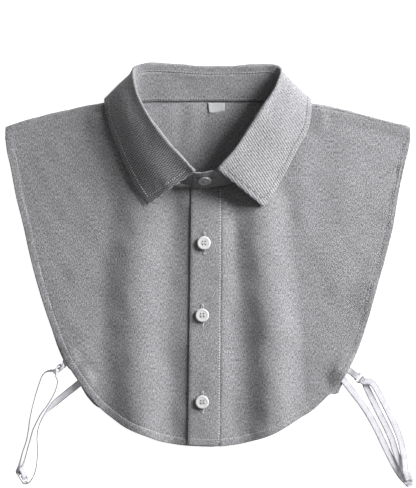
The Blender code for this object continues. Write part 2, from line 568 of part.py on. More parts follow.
def torus(name, at, across, up, major, wire):
    """A ring, lying square to up."""
    around, section = 22, 8
    points, faces = [], []
    for i in range(around):
        a = 2 * math.pi * i / around
        for k in range(section):
            b = 2 * math.pi * k / section
            r = major + wire / 2 * math.cos(b)
            points.append((r * math.cos(a) * 0.001, r * math.sin(a) * 0.001, wire / 2 * math.sin(b) * 0.001))
    for i in range(around):
        for k in range(section):
            a, b = i * section + k, i * section + (k + 1) % section
            c = (i + 1) % around * section
            faces.append((a, c + k, c + (k + 1) % section, b))
    obj = new_mesh(name, points, faces)
    frame = np.eye(4)
    frame[:3, 0], frame[:3, 1], frame[:3, 2], frame[:3, 3] = across, np.cross(up, across), up, at
    obj.data.transform(matrix(frame))
    face_out(obj)
    return obj


def build_slider(name, at, across, up, long, wide):
    """A rounded plate with two slots, one on each side of its middle bar. across runs along the strap."""
    thick, bar, side = 1.3, 1.1, 1.0
    corners, r = [], 1.6
    for cx, cy, start in (
        (long / 2 - r, wide / 2 - r, 0), (-long / 2 + r, wide / 2 - r, 90),
        (-long / 2 + r, -wide / 2 + r, 180), (long / 2 - r, -wide / 2 + r, 270),
    ):
        for a in range(0, 91, 30):
            turn = math.radians(start + a)
            corners.append((cx + r * math.cos(turn), cy + r * math.sin(turn)))
    n = len(corners)
    points = [(x * 0.001, y * 0.001, -thick * 0.0005) for x, y in corners]
    points += [(x * 0.001, y * 0.001, thick * 0.0005) for x, y in corners]
    faces = [tuple(range(n))[::-1], tuple(range(n, 2 * n))]
    faces += [(k, (k + 1) % n, (k + 1) % n + n, k + n) for k in range(n)]
    plate = new_mesh(name, points, faces, smooth=False)
    slot = (long - 3 * bar) / 2
    for i, sign in enumerate((-1, 1)):
        x0 = sign * (bar / 2 + slot / 2)
        box = [
            ((x0 + dx * slot / 2) * 0.001, dy * (wide / 2 - side) * 0.001, dz * thick * 0.001)
            for dx in (-1, 1) for dy in (-1, 1) for dz in (-1, 1)
        ]
        sides = [(0, 1, 3, 2), (4, 6, 7, 5), (0, 4, 5, 1), (2, 3, 7, 6), (0, 2, 6, 4), (1, 5, 7, 3)]
        cutter = new_mesh(f"{name}_slot_{i}", box, sides, smooth=False)
        face_out(cutter)
        cutter.hide_render, cutter.display_type = True, "WIRE"
        parts.objects.unlink(cutter)
        cutters.objects.link(cutter)
        cut = plate.modifiers.new(f"slot {i}", "BOOLEAN")
        cut.operation, cut.solver, cut.object = "DIFFERENCE", "EXACT", cutter
    frame = np.eye(4)
    frame[:3, 0], frame[:3, 1], frame[:3, 2], frame[:3, 3] = across, np.cross(up, across), up, at
    pose = matrix(frame)
    plate.data.transform(pose)
    for modifier in plate.modifiers:
        modifier.object.data.transform(pose)
    return plate


def paint(objects, name, colour, rough):
    for obj in objects:
        material = bpy.data.materials.new(f"{name}_{obj.name}")
        material.use_nodes = True
        shader = material.node_tree.nodes["Principled BSDF"]
        shader.inputs["Base Color"].default_value = (*colour, 1)
        shader.inputs["Roughness"].default_value = rough
        obj.data.materials.append(material)


for old in list(bpy.data.objects):
    bpy.data.objects.remove(old)
parts = bpy.data.collections.new("detachable_collar")
cutters = bpy.data.collections.new("cutters")
cutters.hide_render = True
for group in (parts, cutters):
    bpy.context.scene.collection.children.link(group)

cloth = [
    build_back(),
    build_front("front_under", 6.0, UNDER_EDGE, front_z, (6.0, NECK_LEFT), (112, 184)),
    build_front("front_over", BAND_RIGHT, 410.0, over_z, (410.0, NECK_RIGHT), (249,)),
    build_band(),
    build_stand(),
    build_leaf(),
]
label = [build_label()]

buttons = []
for number, (bx, by) in enumerate(((204.3, 243.0), (203.4, 315.2), (204.2, 401.8)), 1):
    bz = float(over_z(np.array(bx), np.array(by))) + BAND / 2 + GAP
    at = place(np.array(float(lean(bx, by))), np.array(by), np.array(bz))
    turn = math.radians(20)
    across = np.array([math.cos(turn), math.sin(turn), 0.0])
    buttons.append(build_button(f"button_{number}", at, across, np.array([0, 0, 1.0])))

bottom, top = stand_rows(34)
low, high = bottom[-2] * 0.8 + bottom[-3] * 0.2, top[-2] * 0.8 + top[-3] * 0.2
across = unit(bottom[-3] - bottom[-1])
face = unit(np.cross(across, high - low))
face = face if face[1] < 0 else -face
at = low * 0.42 + high * 0.58 + face * (CLOTH / 2 + GAP) * 0.001
buttons.append(build_button("button_collar", at, across, face))

straps, fittings = [], []
for side, ring_row, slider_row, tab, outer, far, inner, band in (
    ("left", RING_LEFT, SLIDER_LEFT, TAB_LEFT, LEFT_OUTER, ROUND_FAR_WIDE, LEFT_INNER, LEFT_BAND),
    ("right", RING_RIGHT, SLIDER_RIGHT, TAB_RIGHT, RIGHT_INNER, ROUND_FAR, RIGHT_OUTER, RIGHT_BAND),
):
    ring, slider = frame_at(*ring_row), frame_at(*slider_row)
    straps.append(ribbon(f"tab_{side}", run_of(tab) + hook(ring, ROUND_NEAR), 3.0))
    course = hook(slider, SEWN_END) + run_of(outer) + hook(ring, far)
    course += run_of(inner) + hook(slider, THROUGH) + run_of(band)
    straps.append(ribbon(f"strap_{side}", course, 6.0))
    fittings.append(torus(f"ring_{side}", ring[0], ring[1], ring[3], RING_RADIUS, RING_WIRE))
    fittings.append(build_slider(f"slider_{side}", slider[0], slider[1], slider[3], SLIDER_LONG, SLIDER_WIDE))

paint(straps, "elastic", (0.86, 0.86, 0.88), 0.8)
paint(fittings, "nylon", (0.85, 0.85, 0.86), 0.4)
paint(cloth, "chambray", (0.27, 0.27, 0.29), 0.9)
paint(label, "tape", (0.85, 0.85, 0.85), 0.8)
paint(buttons, "button", (0.9, 0.9, 0.88), 0.35)
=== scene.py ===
"""Looks for the detachable shirt collar: cloth, stitching, elastic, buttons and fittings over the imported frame."""

import json
import math

import bmesh
import bpy
import numpy as np
from mathutils import Matrix

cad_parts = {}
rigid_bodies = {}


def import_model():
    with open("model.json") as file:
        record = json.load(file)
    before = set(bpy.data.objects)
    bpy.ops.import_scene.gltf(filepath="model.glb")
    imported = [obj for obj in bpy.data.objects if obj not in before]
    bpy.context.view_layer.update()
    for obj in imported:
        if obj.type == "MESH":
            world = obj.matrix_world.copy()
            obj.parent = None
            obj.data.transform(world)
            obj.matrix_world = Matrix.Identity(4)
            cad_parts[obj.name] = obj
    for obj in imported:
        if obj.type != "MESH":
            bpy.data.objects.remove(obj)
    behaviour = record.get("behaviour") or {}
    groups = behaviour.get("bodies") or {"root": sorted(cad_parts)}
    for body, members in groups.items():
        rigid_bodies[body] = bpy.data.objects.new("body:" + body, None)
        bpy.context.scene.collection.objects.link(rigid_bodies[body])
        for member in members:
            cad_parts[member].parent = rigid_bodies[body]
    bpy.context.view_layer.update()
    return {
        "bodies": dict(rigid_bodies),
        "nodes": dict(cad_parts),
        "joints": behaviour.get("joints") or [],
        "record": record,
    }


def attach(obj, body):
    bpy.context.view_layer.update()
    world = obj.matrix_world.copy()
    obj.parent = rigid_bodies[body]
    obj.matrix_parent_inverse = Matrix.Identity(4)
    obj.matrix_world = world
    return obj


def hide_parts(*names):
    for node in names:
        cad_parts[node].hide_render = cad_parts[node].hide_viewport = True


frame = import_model()
MM = 0.001

# Places on the sheet are in steps of STEP, counted right and down. Heights and lengths are in millimetres.
STEP = 0.85
MIDDLE_X, MIDDLE_Y = 209.4577, 275.0605

CLOTH = 1.2  # wall of every cloth layer
BAND = 1.4  # wall of the buttonhole band, which is folded double
GAP = 0.3  # air between layers and at butted seams
ROLL = 1.5  # radius of the shoulder fold
CREASE = 1.1  # radius of the collar's fold
LEAF_BELOW = 1.6  # how far the back panel rises over the collar leaf under it
UNDER_EDGE, BAND_LEFT, BAND_RIGHT = 216.0, 191.3, 221.3
BUTTON = 11.5
BUTTON_THICK = 2.2
ELASTIC_WIDE, ELASTIC_THICK = 5.6, 1.0
RING_RADIUS, RING_WIRE = 3.95, 1.1  # to the middle of the wire

# Lower edge of both panels, from the left shoulder tip round to the right one: x, y
LOWER_EDGE = [
    (6, 138), (7, 149), (10, 162), (13, 177), (16, 194), (20, 210), (24, 226), (28, 245), (33, 266),
    (37, 281), (42, 298), (50, 322), (59, 346), (66, 361), (77, 378), (88, 394), (103, 410),
    (113, 418), (125, 426.5), (142, 434), (165, 441.5), (190, 445), (215, 446), (236, 444), (254, 440),
    (272, 434), (286, 426.5), (299, 418), (312, 410), (321, 402), (330, 393), (336.5, 386), (343, 378),
    (348, 370), (352, 362), (359, 346), (367, 322), (376, 290), (385, 258), (393, 226), (398, 195),
    (405, 162), (409, 146), (410, 138),
]
# Where the back panel shows below the fronts: x, how far
BACK_BELOW = [
    (6, 0), (50, 0), (57, 3), (66, 3.5), (72, 0), (79, 0), (85, 3), (94, 3), (102, 0), (329, 0), (334, 5),
    (337, 8.5), (340.5, 9), (343, 1), (346, 0), (410, 0),
]
# Outer edge of the shoulder fold and of the back neck: x, y
FOLD_EDGE = [
    (6, 126.5), (10, 124.8), (25.5, 120), (63.8, 110.4), (104.6, 102.6), (120, 101.6), (141, 100.6),
    (207, 100.4), (266, 100.6), (294, 102), (311, 103), (336.5, 107.3), (362, 114.2), (400, 123.8),
    (406, 125), (410, 127),
]
# How far the back panel laps over the shoulder to the front, from that edge: x, lap
SHOULDER_LAP = [
    (6, 4.6), (25.5, 8), (63.8, 7.6), (92, 8.4), (130, 8.4), (282, 5), (312, 4.6), (336, 4.2), (362, 3.2), (410, 3.2),
]
# Neckline of the fronts, from the left shoulder seam to the right one: x, y
NECKLINE = [
    (127.5, 110.5), (128.4, 118), (133, 134), (142, 152), (155, 168), (170, 179), (186, 185.5),
    (204, 188.5), (221, 187.5), (240.5, 180.5), (254.5, 170.5), (267, 157), (276.5, 143), (282.5, 130),
    (285.2, 119), (286.5, 109),
]
NECK_LEFT, NECK_RIGHT = 127.5, 286.5
# Soft ridges of the fronts. Each climbs on its left and falls away more gently on its right.
# y, x of the middle of the climb, height
RIDGE_LEFT = [
    (113, 94, 0), (128, 99, 2.4), (147, 107, 4.2), (182, 122, 5.0), (217, 124.5, 5.4), (252, 119, 6.0), (292, 116.5, 6.6),
    (332, 116.5, 7.2), (372, 118.5, 7.6), (412, 120, 7.6), (446, 121, 7.2),
]
RIDGE_MIDDLE = [(188, 181, 1.4), (220, 181, 2.8), (250, 183, 2.2), (300, 184.5, 1.8), (400, 183.5, 2.2), (446, 184, 2.0)]
RIDGE_RIGHT = [
    (165, 230, 0), (185, 238, 2.8), (207, 245.5, 6.0), (225, 246.5, 6.4), (252, 247.5, 6.4), (285, 251, 6.6), (322, 254.5, 6.8),
    (352, 256, 7.0), (382, 257.5, 7.2), (412, 258.5, 7.2), (446, 259, 6.8),
]
RIDGE_EDGE = [(235, 366, 0), (262, 364, 1.1), (290, 360, 2.0), (312, 358, 1.1), (330, 356, 0)]
# Ridge, half the width of its climb, where its fall starts and ends
RIDGES = [(RIDGE_LEFT, 17, 19, 55), (RIDGE_MIDDLE, 11, 26, 60), (RIDGE_RIGHT, 14, 17, 49), (RIDGE_EDGE, 13, 20, 60)]
SWELLS = [(338, 128, 346, 190, 24, 1.4, 40), (303, 150, 300, 215, 16, 1.0, 30), (74, 330, 84, 392, 26, 1.9, 60)]
# Where a strap end lies between the panels: x, y, lift
STRAP_ENDS = [(68, 359, 2.4), (83, 380, 2.9), (345, 368, 2.2), (340, 377, 1.8)]
# Collar, from the left end of its leaf round the back to the right end. Seam on the neckline x, y;
# fold x, y, height; length turned inside; where the leaf bends and how much; outer edge x, y, height.
# A height of 0 means just above the front.
COLLAR = [
    (186.0, 184.5, 195.0, 171.0, 29.5, 2.6, 0.50, 1.6, 147.5, 204.5, 0),
    (170.0, 178.0, 181.0, 156.0, 30.0, 4.0, 0.50, 2.0, 138.0, 190.5, 0),
    (155.0, 167.0, 166.5, 140.0, 29.5, 5.5, 0.50, 2.4, 127.8, 170.5, 0),
    (142.0, 151.0, 152.5, 121.5, 28.5, 6.0, 0.50, 2.6, 118.3, 149.0, 0),
    (133.0, 133.5, 142.0, 103.0, 26.5, 6.0, 0.50, 2.4, 110.8, 129.0, 0),
    (129.0, 118.5, 137.0, 89.5, 24.0, 6.0, 0.50, 1.6, 106.6, 114.0, 0),
    (128.8, 111.0, 135.3, 80.5, 22.0, 6.0, 0.50, 0.8, 105.6, 106.2, 7.6),
    (130.5, 106.5, 134.6, 74.0, 20.0, 6.0, 0.50, 0.2, 104.8, 99.2, 3.9),
    (133.5, 104.0, 135.2, 69.8, 18.0, 6.0, 0.45, -3.4, 107.5, 101.2, 1.0),
    (138.5, 102.3, 138.6, 67.4, 16.0, 6.0, 0.30, -6.6, 113.5, 105.5, 0.65),
    (149.0, 101.4, 150.0, 65.4, 14.0, 6.0, 0.20, -7.6, 136.0, 111.5, 0.65),
    (170.0, 101.0, 171.0, 66.0, 12.6, 6.0, 0.16, -7.0, 168.0, 114.5, 0.65),
    (207.0, 101.0, 207.0, 68.2, 12.0, 6.0, 0.16, -6.6, 207.0, 115.5, 0.65),
    (245.0, 101.0, 245.0, 67.6, 12.6, 6.0, 0.16, -7.0, 247.0, 114.5, 0.65),
    (264.5, 101.4, 265.0, 66.6, 14.0, 6.0, 0.20, -7.6, 279.0, 111.5, 0.65),
    (275.0, 102.3, 276.0, 67.6, 16.0, 6.0, 0.30, -6.6, 302.0, 105.5, 0.65),
    (280.5, 104.0, 279.2, 70.0, 18.0, 6.0, 0.45, -3.4, 308.2, 101.6, 1.0),
    (283.5, 106.5, 279.6, 74.0, 20.0, 6.0, 0.50, 0.2, 311.0, 100.1, 3.9),
    (285.2, 111.5, 277.5, 80.5, 22.0, 6.0, 0.50, 0.8, 310.9, 107.0, 7.6),
    (284.5, 120.0, 274.0, 89.5, 24.0, 6.0, 0.50, 1.6, 310.0, 117.0, 0),
    (281.0, 131.5, 267.5, 100.0, 26.0, 6.0, 0.50, 2.2, 307.0, 131.0, 0),
    (274.5, 144.0, 258.8, 114.0, 28.0, 6.0, 0.50, 2.6, 298.3, 147.0, 0),
    (264.5, 158.5, 247.5, 131.0, 29.0, 5.5, 0.50, 2.6, 289.0, 165.0, 0),
    (252.0, 170.5, 236.5, 147.5, 29.8, 5.0, 0.50, 2.2, 279.8, 182.0, 0),
    (239.5, 179.5, 226.5, 159.5, 30.0, 4.0, 0.50, 1.8, 271.0, 197.0, 0),
    (226.5, 185.0, 217.5, 169.0, 29.5, 2.6, 0.50, 1.4, 263.0, 206.5, 0),
]
# The stand's ends past the leaf, from their tip: seam x, y; top edge x, y, height
STAND_UNDER = [
    (221.0, 184.6, 219.5, 173.6, 20.5), (214.0, 185.3, 212.0, 174.0, 22.5), (200.0, 185.4, 202.0, 173.0, 25.0),
]
STAND_OVER = [
    (215.0, 187.2, 211.5, 171.2, 27.2), (203.0, 188.2, 202.0, 173.4, 26.8), (193.0, 187.6, 193.0, 174.4, 24.0),
]


# Rings and sliders: middle x, y, height, heading of their length, rise of their width
RING_LEFT, RING_RIGHT = (57.8, 369.8, 4.6, 43.7, 62), (359.3, 377.8, 2.8, 143.1, 168)
SLIDER_LEFT, SLIDER_RIGHT = (22.6, 475.9, 3.8, -57.5, 130), (407.6, 478.0, 3.45, -70.7, 0)
SLIDER_LONG, SLIDER_WIDE = 9.5, 8.2
# Elastic hooked round a fitting: how far along it, how far up from its middle
ROUND_NEAR = [
    (5.4, 1.25), (3.95, 1.42), (2.3, 1.4), (1.4, 0.85), (1.05, 0), (1.4, -0.85), (2.3, -1.4), (3.95, -1.42), (5.6, -1.2),
]
ROUND_FAR = [
    (-5.0, -1.4), (-3.95, -1.42), (-2.3, -1.4), (-1.4, -0.85), (-1.05, 0), (-1.4, 0.85), (-2.3, 1.4), (-3.95, 1.42),
    (-5.0, 1.4),
]
ROUND_FAR_WIDE = [
    (-4.4, -3.6), (-3.3, -2.4), (-2.3, -1.4), (-1.6, -0.8), (-1.3, 0), (-1.6, 0.8), (-2.3, 1.4), (-3.3, 2.4), (-4.4, 3.6),
]
SEWN_END = [(-5.3, 1.5), (-4.2, 1.6), (-3.0, 1.4), (-2.45, 0), (-3.0, -1.4), (-4.2, -1.6), (-5.6, -1.5)]
THROUGH = [
    (-6.0, 3.0), (-4.4, 3.0), (-2.2, 2.6), (-0.4, 1.85), (0.8, 1.7), (1.5, 1.05), (2.1, 0), (2.7, -1.05), (3.4, -1.65),
    (4.4, -1.7), (5.3, -1.6),
]
# Elastic on the table: x, y, height, heading and rise of its width
TAB_LEFT = [(70.5, 357.5, 2.0, 133.7, 0), (67.4, 360.5, 2.0, 133.7, 0), (65.4, 362.4, 2.7, 133.7, 18)]
TAB_RIGHT = [(343.5, 366.0, 2.0, 53, 0), (347.8, 369.4, 2.0, 53, 0), (350.4, 371.2, 2.4, 53, 4)]
LEFT_OUTER = [
    (19.3, 465.5, 3.2, 212, 72), (20.5, 460.5, 3.0, 212, 86), (22.9, 451.5, 2.95, 0, 90), (26.4, 441.0, 2.95, 0, 90),
    (28.6, 429.7, 2.95, 0, 90), (29.9, 420.2, 2.95, 0, 90), (32.8, 406.0, 2.95, 0, 90), (36.4, 392.9, 2.95, 0, 90),
    (40.4, 380.6, 2.95, 0, 90), (42.8, 375.0, 2.95, 134, 88), (46.4, 371.6, 3.0, 134, 82),
]
LEFT_INNER = [
    (57.9, 379.4, 4.8, 134, 74), (57.7, 383.2, 3.6, 134, 84), (56.6, 387.6, 2.95, 0, 90),
    (53.8, 394.7, 2.95, 0, 90), (50.1, 401.2, 2.95, 0, 90), (46.6, 406.4, 2.95, 0, 90), (41.2, 413.6, 2.95, 0, 90),
    (36.6, 422.2, 2.95, 0, 90), (33.0, 430.0, 2.95, 0, 90), (30.7, 438.2, 2.95, 0, 90), (28.3, 446.7, 2.95, 0, 90),
    (26.4, 454.0, 2.95, 0, 90), (24.8, 460.0, 3.3, 212, 84), (23.4, 464.6, 4.3, 212, 66),
]
LEFT_BAND = [
    (28.0, 483.0, 2.95, 212, 72), (31.2, 480.2, 2.95, 0, 90), (34.3, 474.5, 2.95, 0, 90), (36.4, 467.0, 2.95, 0, 90),
    (37.5, 458.0, 2.95, 0, 90), (37.7, 448.0, 2.95, 0, 90), (37.3, 438.0, 2.95, 0, 90), (38.4, 428.5, 2.95, 0, 90),
    (41.6, 420.0, 2.95, 128, 88), (46.3, 412.4, 2.9, 128, 72), (51.5, 406.4, 2.5, 128, 42), (57.3, 401.0, 1.8, 128, 12),
    (66.0, 393.9, 1.4, 128, 0), (74.0, 387.5, 1.7, 128, 0), (79.5, 383.1, 2.0, 128, 0), (86.0, 378.0, 2.0, 128, 0),
]
RIGHT_INNER = [
    (402.6, 468.5, 1.95, 22, 0), (399.0, 461.0, 1.95, 24, 0), (395.2, 450.5, 1.95, 23, 0), (391.2, 438.0, 1.95, 25, 0),
    (385.0, 424.5, 1.95, 27, 0), (378.4, 411.6, 1.95, 28, 0), (372.0, 398.5, 1.95, 30, 0), (367.2, 388.5, 1.9, 38, 4),
]
RIGHT_OUTER = [
    (369.6, 381.6, 4.2, 46, 4), (374.2, 385.6, 3.8, 38, 0), (379.2, 394.2, 3.5, 30, 0), (383.8, 402.8, 3.35, 28, 0),
    (388.2, 411.6, 3.3, 27, 0), (394.6, 425.0, 3.3, 26, 0), (399.8, 438.0, 3.3, 21, 0), (402.9, 451.0, 3.4, 15, 0),
    (404.6, 461.0, 4.2, 16, 0),
]
RIGHT_BAND = [
    (410.1, 485.6, 1.3, 20, 0), (409.2, 484.2, 0.65, 24, 0), (406.0, 481.0, 0.6, 34, 0), (402.3, 477.2, 0.6, 34, 0),
    (398.4, 471.8, 0.6, 28, 0), (393.8, 463.8, 0.6, 26, 0), (388.0, 452.5, 0.6, 26, 0), (382.0, 440.0, 0.6, 26, 0),
    (376.0, 427.5, 0.6, 27, 0), (368.9, 414.8, 0.6, 30, 0), (361.2, 403.0, 0.65, 34, 0), (352.6, 391.8, 1.0, 37, 0),
    (343.8, 380.4, 2.0, 38, 0), (338.5, 373.5, 2.0, 38, 0),
]


def spline(at, rows, eased=False):
    """Rows of a table, joined smoothly in their first column. Eased ones never overshoot."""
    rows = np.asarray(rows, float)
    xs, ys = rows[:, 0], rows[:, 1:]
    step = np.diff(xs)[:, None]
    slope = np.diff(ys, axis=0) / step
    m = np.empty_like(ys)
    m[0], m[-1] = slope[0], slope[-1]
    if eased:
        safe = np.where(slope == 0, 1e-12, slope)
        w1, w2 = 2 * step[1:] + step[:-1], step[1:] + 2 * step[:-1]
        mean = (w1 + w2) / (w1 / safe[:-1] + w2 / safe[1:])
        m[1:-1] = np.where(slope[:-1] * slope[1:] > 0, mean, 0.0)
    else:
        m[1:-1] = (ys[2:] - ys[:-2]) / (step[1:] + step[:-1])
    at = np.asarray(at, float)
    i = np.clip(np.searchsorted(xs, at, side="right") - 1, 0, len(xs) - 2)
    h = (xs[i + 1] - xs[i])[..., None]
    t = np.clip((at[..., None] - xs[i][..., None]) / h, 0, 1)
    out = (
        ys[i] * (1 + 2 * t) * (1 - t) ** 2
        + m[i] * h * t * (1 - t) ** 2
        + ys[i + 1] * t * t * (3 - 2 * t)
        + m[i + 1] * h * t * t * (t - 1)
    )
    return out[..., 0] if ys.shape[1] == 1 else out


def ease(t):
    t = np.clip(t, 0, 1)
    return t * t * (3 - 2 * t)


def unit(v):
    return v / np.maximum(np.linalg.norm(v, axis=-1, keepdims=True), 1e-9)


def lean(x, y):
    """The button band runs a little to the left on its way down, and takes the cloth beside it along."""
    per_step = np.interp(x, [150, 190, 221, 262], [0, 0.0136, 0.0066, 0])
    return x - per_step * (y - 200)


def over_leaf(x, y, spread=0.0):
    """1 where the collar leaf lies under the panels, 0 well away from it. The fronts rise from further out."""
    return ease((x - 90 + spread) / 11) * ease((326 + spread - x) / 11) * (1 - ease((y - 118 - spread) / 12))


def seam_y(x):
    return spline(x, FOLD_EDGE, True) + spline(x, SHOULDER_LAP, True)


def folds(x, y):
    """Height of the soft ridges and of the strap ends under the fronts."""
    h = 0 * x
    for rows, climb, start, end in RIDGES:
        line = spline(y, rows, True)
        past = x - line[..., 0]
        h = h + line[..., 1] * ease((past + climb) / (2 * climb)) * (1 - ease((past - start) / (end - start)))
    for x0, y0, x1, y1, half, high, end in SWELLS:
        along = np.clip((y - y0) / (y1 - y0), -1, 2)
        middle = x0 + (x1 - x0) * along
        ends = ease((y - y0 + end) / end) * ease((y1 + end - y) / end)
        h = h + high * np.exp(-(((x - middle) / half) ** 2) * 1.6) * ends
    for x0, y0, high in STRAP_ENDS:
        h = h + high * np.exp(-(((x - x0) ** 2 + (y - y0) ** 2) / 11.0**2) ** 2)
    return h


def front_z(x, y):
    """Middle of the cloth of the fronts, without the rise over the button side."""
    near = 1 - ease((y - seam_y(x)) / 14)
    return CLOTH * 1.5 + GAP + LEAF_BELOW * over_leaf(x, y, 6.0) + 1.5 * near + folds(x, y)


def over_z(x, y):
    """The buttonhole side lies on the button side as far as its edge, then comes down."""
    return front_z(x, y) + (CLOTH + BAND) / 2 * (1 - ease((x - 222) / 16)) + GAP * (1 - ease((x - 222) / 16))


def place(x, y, z):
    """A place on the sheet in metres."""
    x, y, z = np.broadcast_arrays(np.asarray(x, float), y, z)
    return np.stack([(x - MIDDLE_X) * STEP, (MIDDLE_Y - y) * STEP, z], -1) * 0.001


def columns(first, last, step, fine=(), middling=()):
    """Stations across a panel: close together where its outline is steep, less so where it only rises."""
    at, found = first, [first]
    while at < last:
        gap = step
        for where in fine:
            gap = min(gap, 0.9 + abs(at + 0.5 - where) * 0.26)
        for where in middling:
            gap = min(gap, 5.4 + max(abs(at + 2 - where) - 10, 0) * 0.4)
        at = at + gap
        found.append(min(at, last))
    if found[-1] - found[-2] < 0.4:
        found.pop(-2)
    return np.array(found)


def collar_sections(count):
    """The collar table joined smoothly: seam, fold and outer edge in metres, and the leaf's other columns."""
    rows = np.array(COLLAR)
    sx, sy, fx, fy, fz, lip, mid, rise, ex, ey, ez = rows.T
    ez = np.where(ez > 0, ez, np.where(ex < 200, front_z(ex, ey), over_z(ex, ey)) + CLOTH + GAP + 0.9)
    top = np.where(sy > 108, over_z(sx, sy), CLOTH / 2 + LEAF_BELOW + 2.6 * ease((sy - 101.2) / 7))
    seam, fold, edge = place(sx, sy, top + CLOTH + GAP), place(fx, fy, fz), place(ex, ey, ez)
    steps = np.linalg.norm(np.diff(fold, axis=0), axis=1) + 1.5 * np.linalg.norm(np.diff(edge, axis=0), axis=1)
    run = np.concatenate([[0], np.cumsum(steps)])
    table = np.column_stack([run, seam, fold, edge, lip, mid, rise])
    at = np.linspace(0, run[-1], count)
    out = spline(at, table)
    return out[:, 0:3], out[:, 3:6], out[:, 6:9], out[:, 9], out[:, 10], out[:, 11]


def outward(fold, down):
    """Away from the neck, square to the stand."""
    side = unit(np.cross(np.gradient(fold, axis=0), down))
    away = fold - fold.mean(0)
    return side if (side * away).sum() > 0 else -side


def leaf_grid(count, inner, outer):
    seam, fold, edge, lip, mid, rise = collar_sections(count)
    down = unit(seam - fold)
    out = outward(fold, down)
    mm = 0.001
    parts_of = [fold + down * (lip * mm * k / inner)[:, None] for k in range(inner, -1, -1)]
    for a in np.linspace(0, math.pi, 5)[1:]:
        parts_of.append(fold + CREASE * mm * (out * (1 - math.cos(a)) - down * math.sin(a)))
    turn = parts_of[-1]
    bend = turn + (edge - turn) * mid[:, None] + np.array([0, 0, mm]) * rise[:, None]
    one, two = np.linalg.norm(bend - turn, axis=1).mean(), np.linalg.norm(edge - bend, axis=1).mean()
    for t in np.linspace(0, 1, outer + 1)[1:]:
        a = np.stack([turn, bend, edge], 1)
        m0 = (bend - turn) * 0.6 + down * one * 0.6
        m1 = (edge - turn) * (mid * (1 - mid) * 2)[:, None]
        m2 = (edge - bend) * 1.0
        split = float(np.clip(one / (one + two), 0.2, 0.8))
        if t <= split:
            s, p, q, mp, mq = t / split, a[:, 0], a[:, 1], m0, m1
        else:
            s, p, q, mp, mq = (t - split) / (1 - split), a[:, 1], a[:, 2], m1, m2
        parts_of.append(
            p * (1 + 2 * s) * (1 - s) ** 2 + mp * s * (1 - s) ** 2 + q * s * s * (3 - 2 * s) + mq * s * s * (s - 1)
        )
    return np.stack(parts_of, 1)


def stand_rows(count):
    """Seam and top edge of the stand, from the tip of its inner end to the tip of its outer end."""
    seam, fold, edge, lip, mid, rise = collar_sections(count)
    top = fold + unit(seam - fold) * (lip[:, None] + GAP) * 0.001
    ends = []
    for rows, lift in ((STAND_UNDER, 0.0), (STAND_OVER, BAND + GAP)):
        sx, sy, tx, ty, tz = np.array(rows).T
        bottom = place(sx, sy, front_z(sx, sy) + CLOTH + GAP + lift)
        ends.append((bottom, place(tx, ty, tz)))
    bottom = np.concatenate([ends[0][0], seam, ends[1][0]])
    top = np.concatenate([ends[0][1], top, ends[1][1]])
    return bottom, top


def frame_at(x, y, z, heading, rise):
    """A middle point, the way along, the way the elastic's width points, and the upper side, as columns."""
    heading, rise = math.radians(heading), math.radians(rise)
    along = np.array([math.cos(heading), math.sin(heading), 0.0])
    level = np.array([-math.sin(heading), math.cos(heading), 0.0])
    wide = level * math.cos(rise) + np.array([0, 0, 1.0]) * math.sin(rise)
    up = np.cross(along, wide)
    return place(x, y, z), along, wide, up if up[2] > 0 else -up


def hook(frame, rows):
    """Elastic round a bar: rows of how far along and how far up from the middle of the fitting."""
    middle, along, wide, up = frame
    return [(middle + (along * a + up * b) * 0.001, wide) for a, b in rows]


def run_of(rows):
    """Elastic on the table: x, y, height, then where its width points: heading and rise in degrees."""
    found = []
    for x, y, z, heading, rise in rows:
        heading, rise = math.radians(heading), math.radians(rise)
        flat = math.cos(rise)
        found.append((place(x, y, z), np.array([math.cos(heading) * flat, math.sin(heading) * flat, math.sin(rise)])))
    return found

# fine cloth


def waves(u, v, seed, size, count=16):
    """Smooth unevenness of about one unit, from waves of about this length in millimetres."""
    rng = np.random.default_rng(seed)
    total = 0.0
    for _ in range(count):
        heading, length, phase = rng.uniform(0, math.pi), size * rng.uniform(0.6, 1.7), rng.uniform(0, 2 * math.pi)
        total = total + np.sin((u * math.cos(heading) + v * math.sin(heading)) * 2 * math.pi / length + phase)
    return total / math.sqrt(count / 2)


def to_line(x, y, line):
    """How far each place is from a line, and how far along the line its nearest point lies, in steps."""
    shape = np.shape(x)
    p = np.stack([np.ravel(x), np.ravel(y)], -1)[:, None]
    a, b = line[:-1][None], line[1:][None]
    along = b - a
    size = (along**2).sum(-1)
    t = np.clip(((p - a) * along).sum(-1) / size, 0, 1)
    far = np.linalg.norm(p - a - along * t[..., None], axis=-1)
    k = far.argmin(1)
    run = np.concatenate([[0], np.cumsum(np.sqrt(size[0]))])
    rows = np.arange(len(k))
    return far[rows, k].reshape(shape), (run[k] + t[rows, k] * np.sqrt(size[0, k])).reshape(shape)


def dense(rows, count, extra=None):
    """A table's line with its places closer together towards its steep ends."""
    first, last = rows[0][0], rows[-1][0]
    x = first + (last - first) * (0.5 - 0.5 * np.cos(np.linspace(0, math.pi, count)))
    y = spline(x, rows, True)
    if extra is not None:
        y = y + spline(x, extra, True)
    return np.column_stack([x, y])


LOWER_LINE = dense(LOWER_EDGE, 240)
BACK_LINE = dense(LOWER_EDGE, 240, BACK_BELOW)


def hem_wide(x):
    """How far the hem's stitching lies from the edge, in millimetres."""
    return np.interp(x, [6, 30, 90, 150, 280, 330, 410], [5.9, 5.2, 5.2, 5.8, 5.5, 4.8, 4.4])


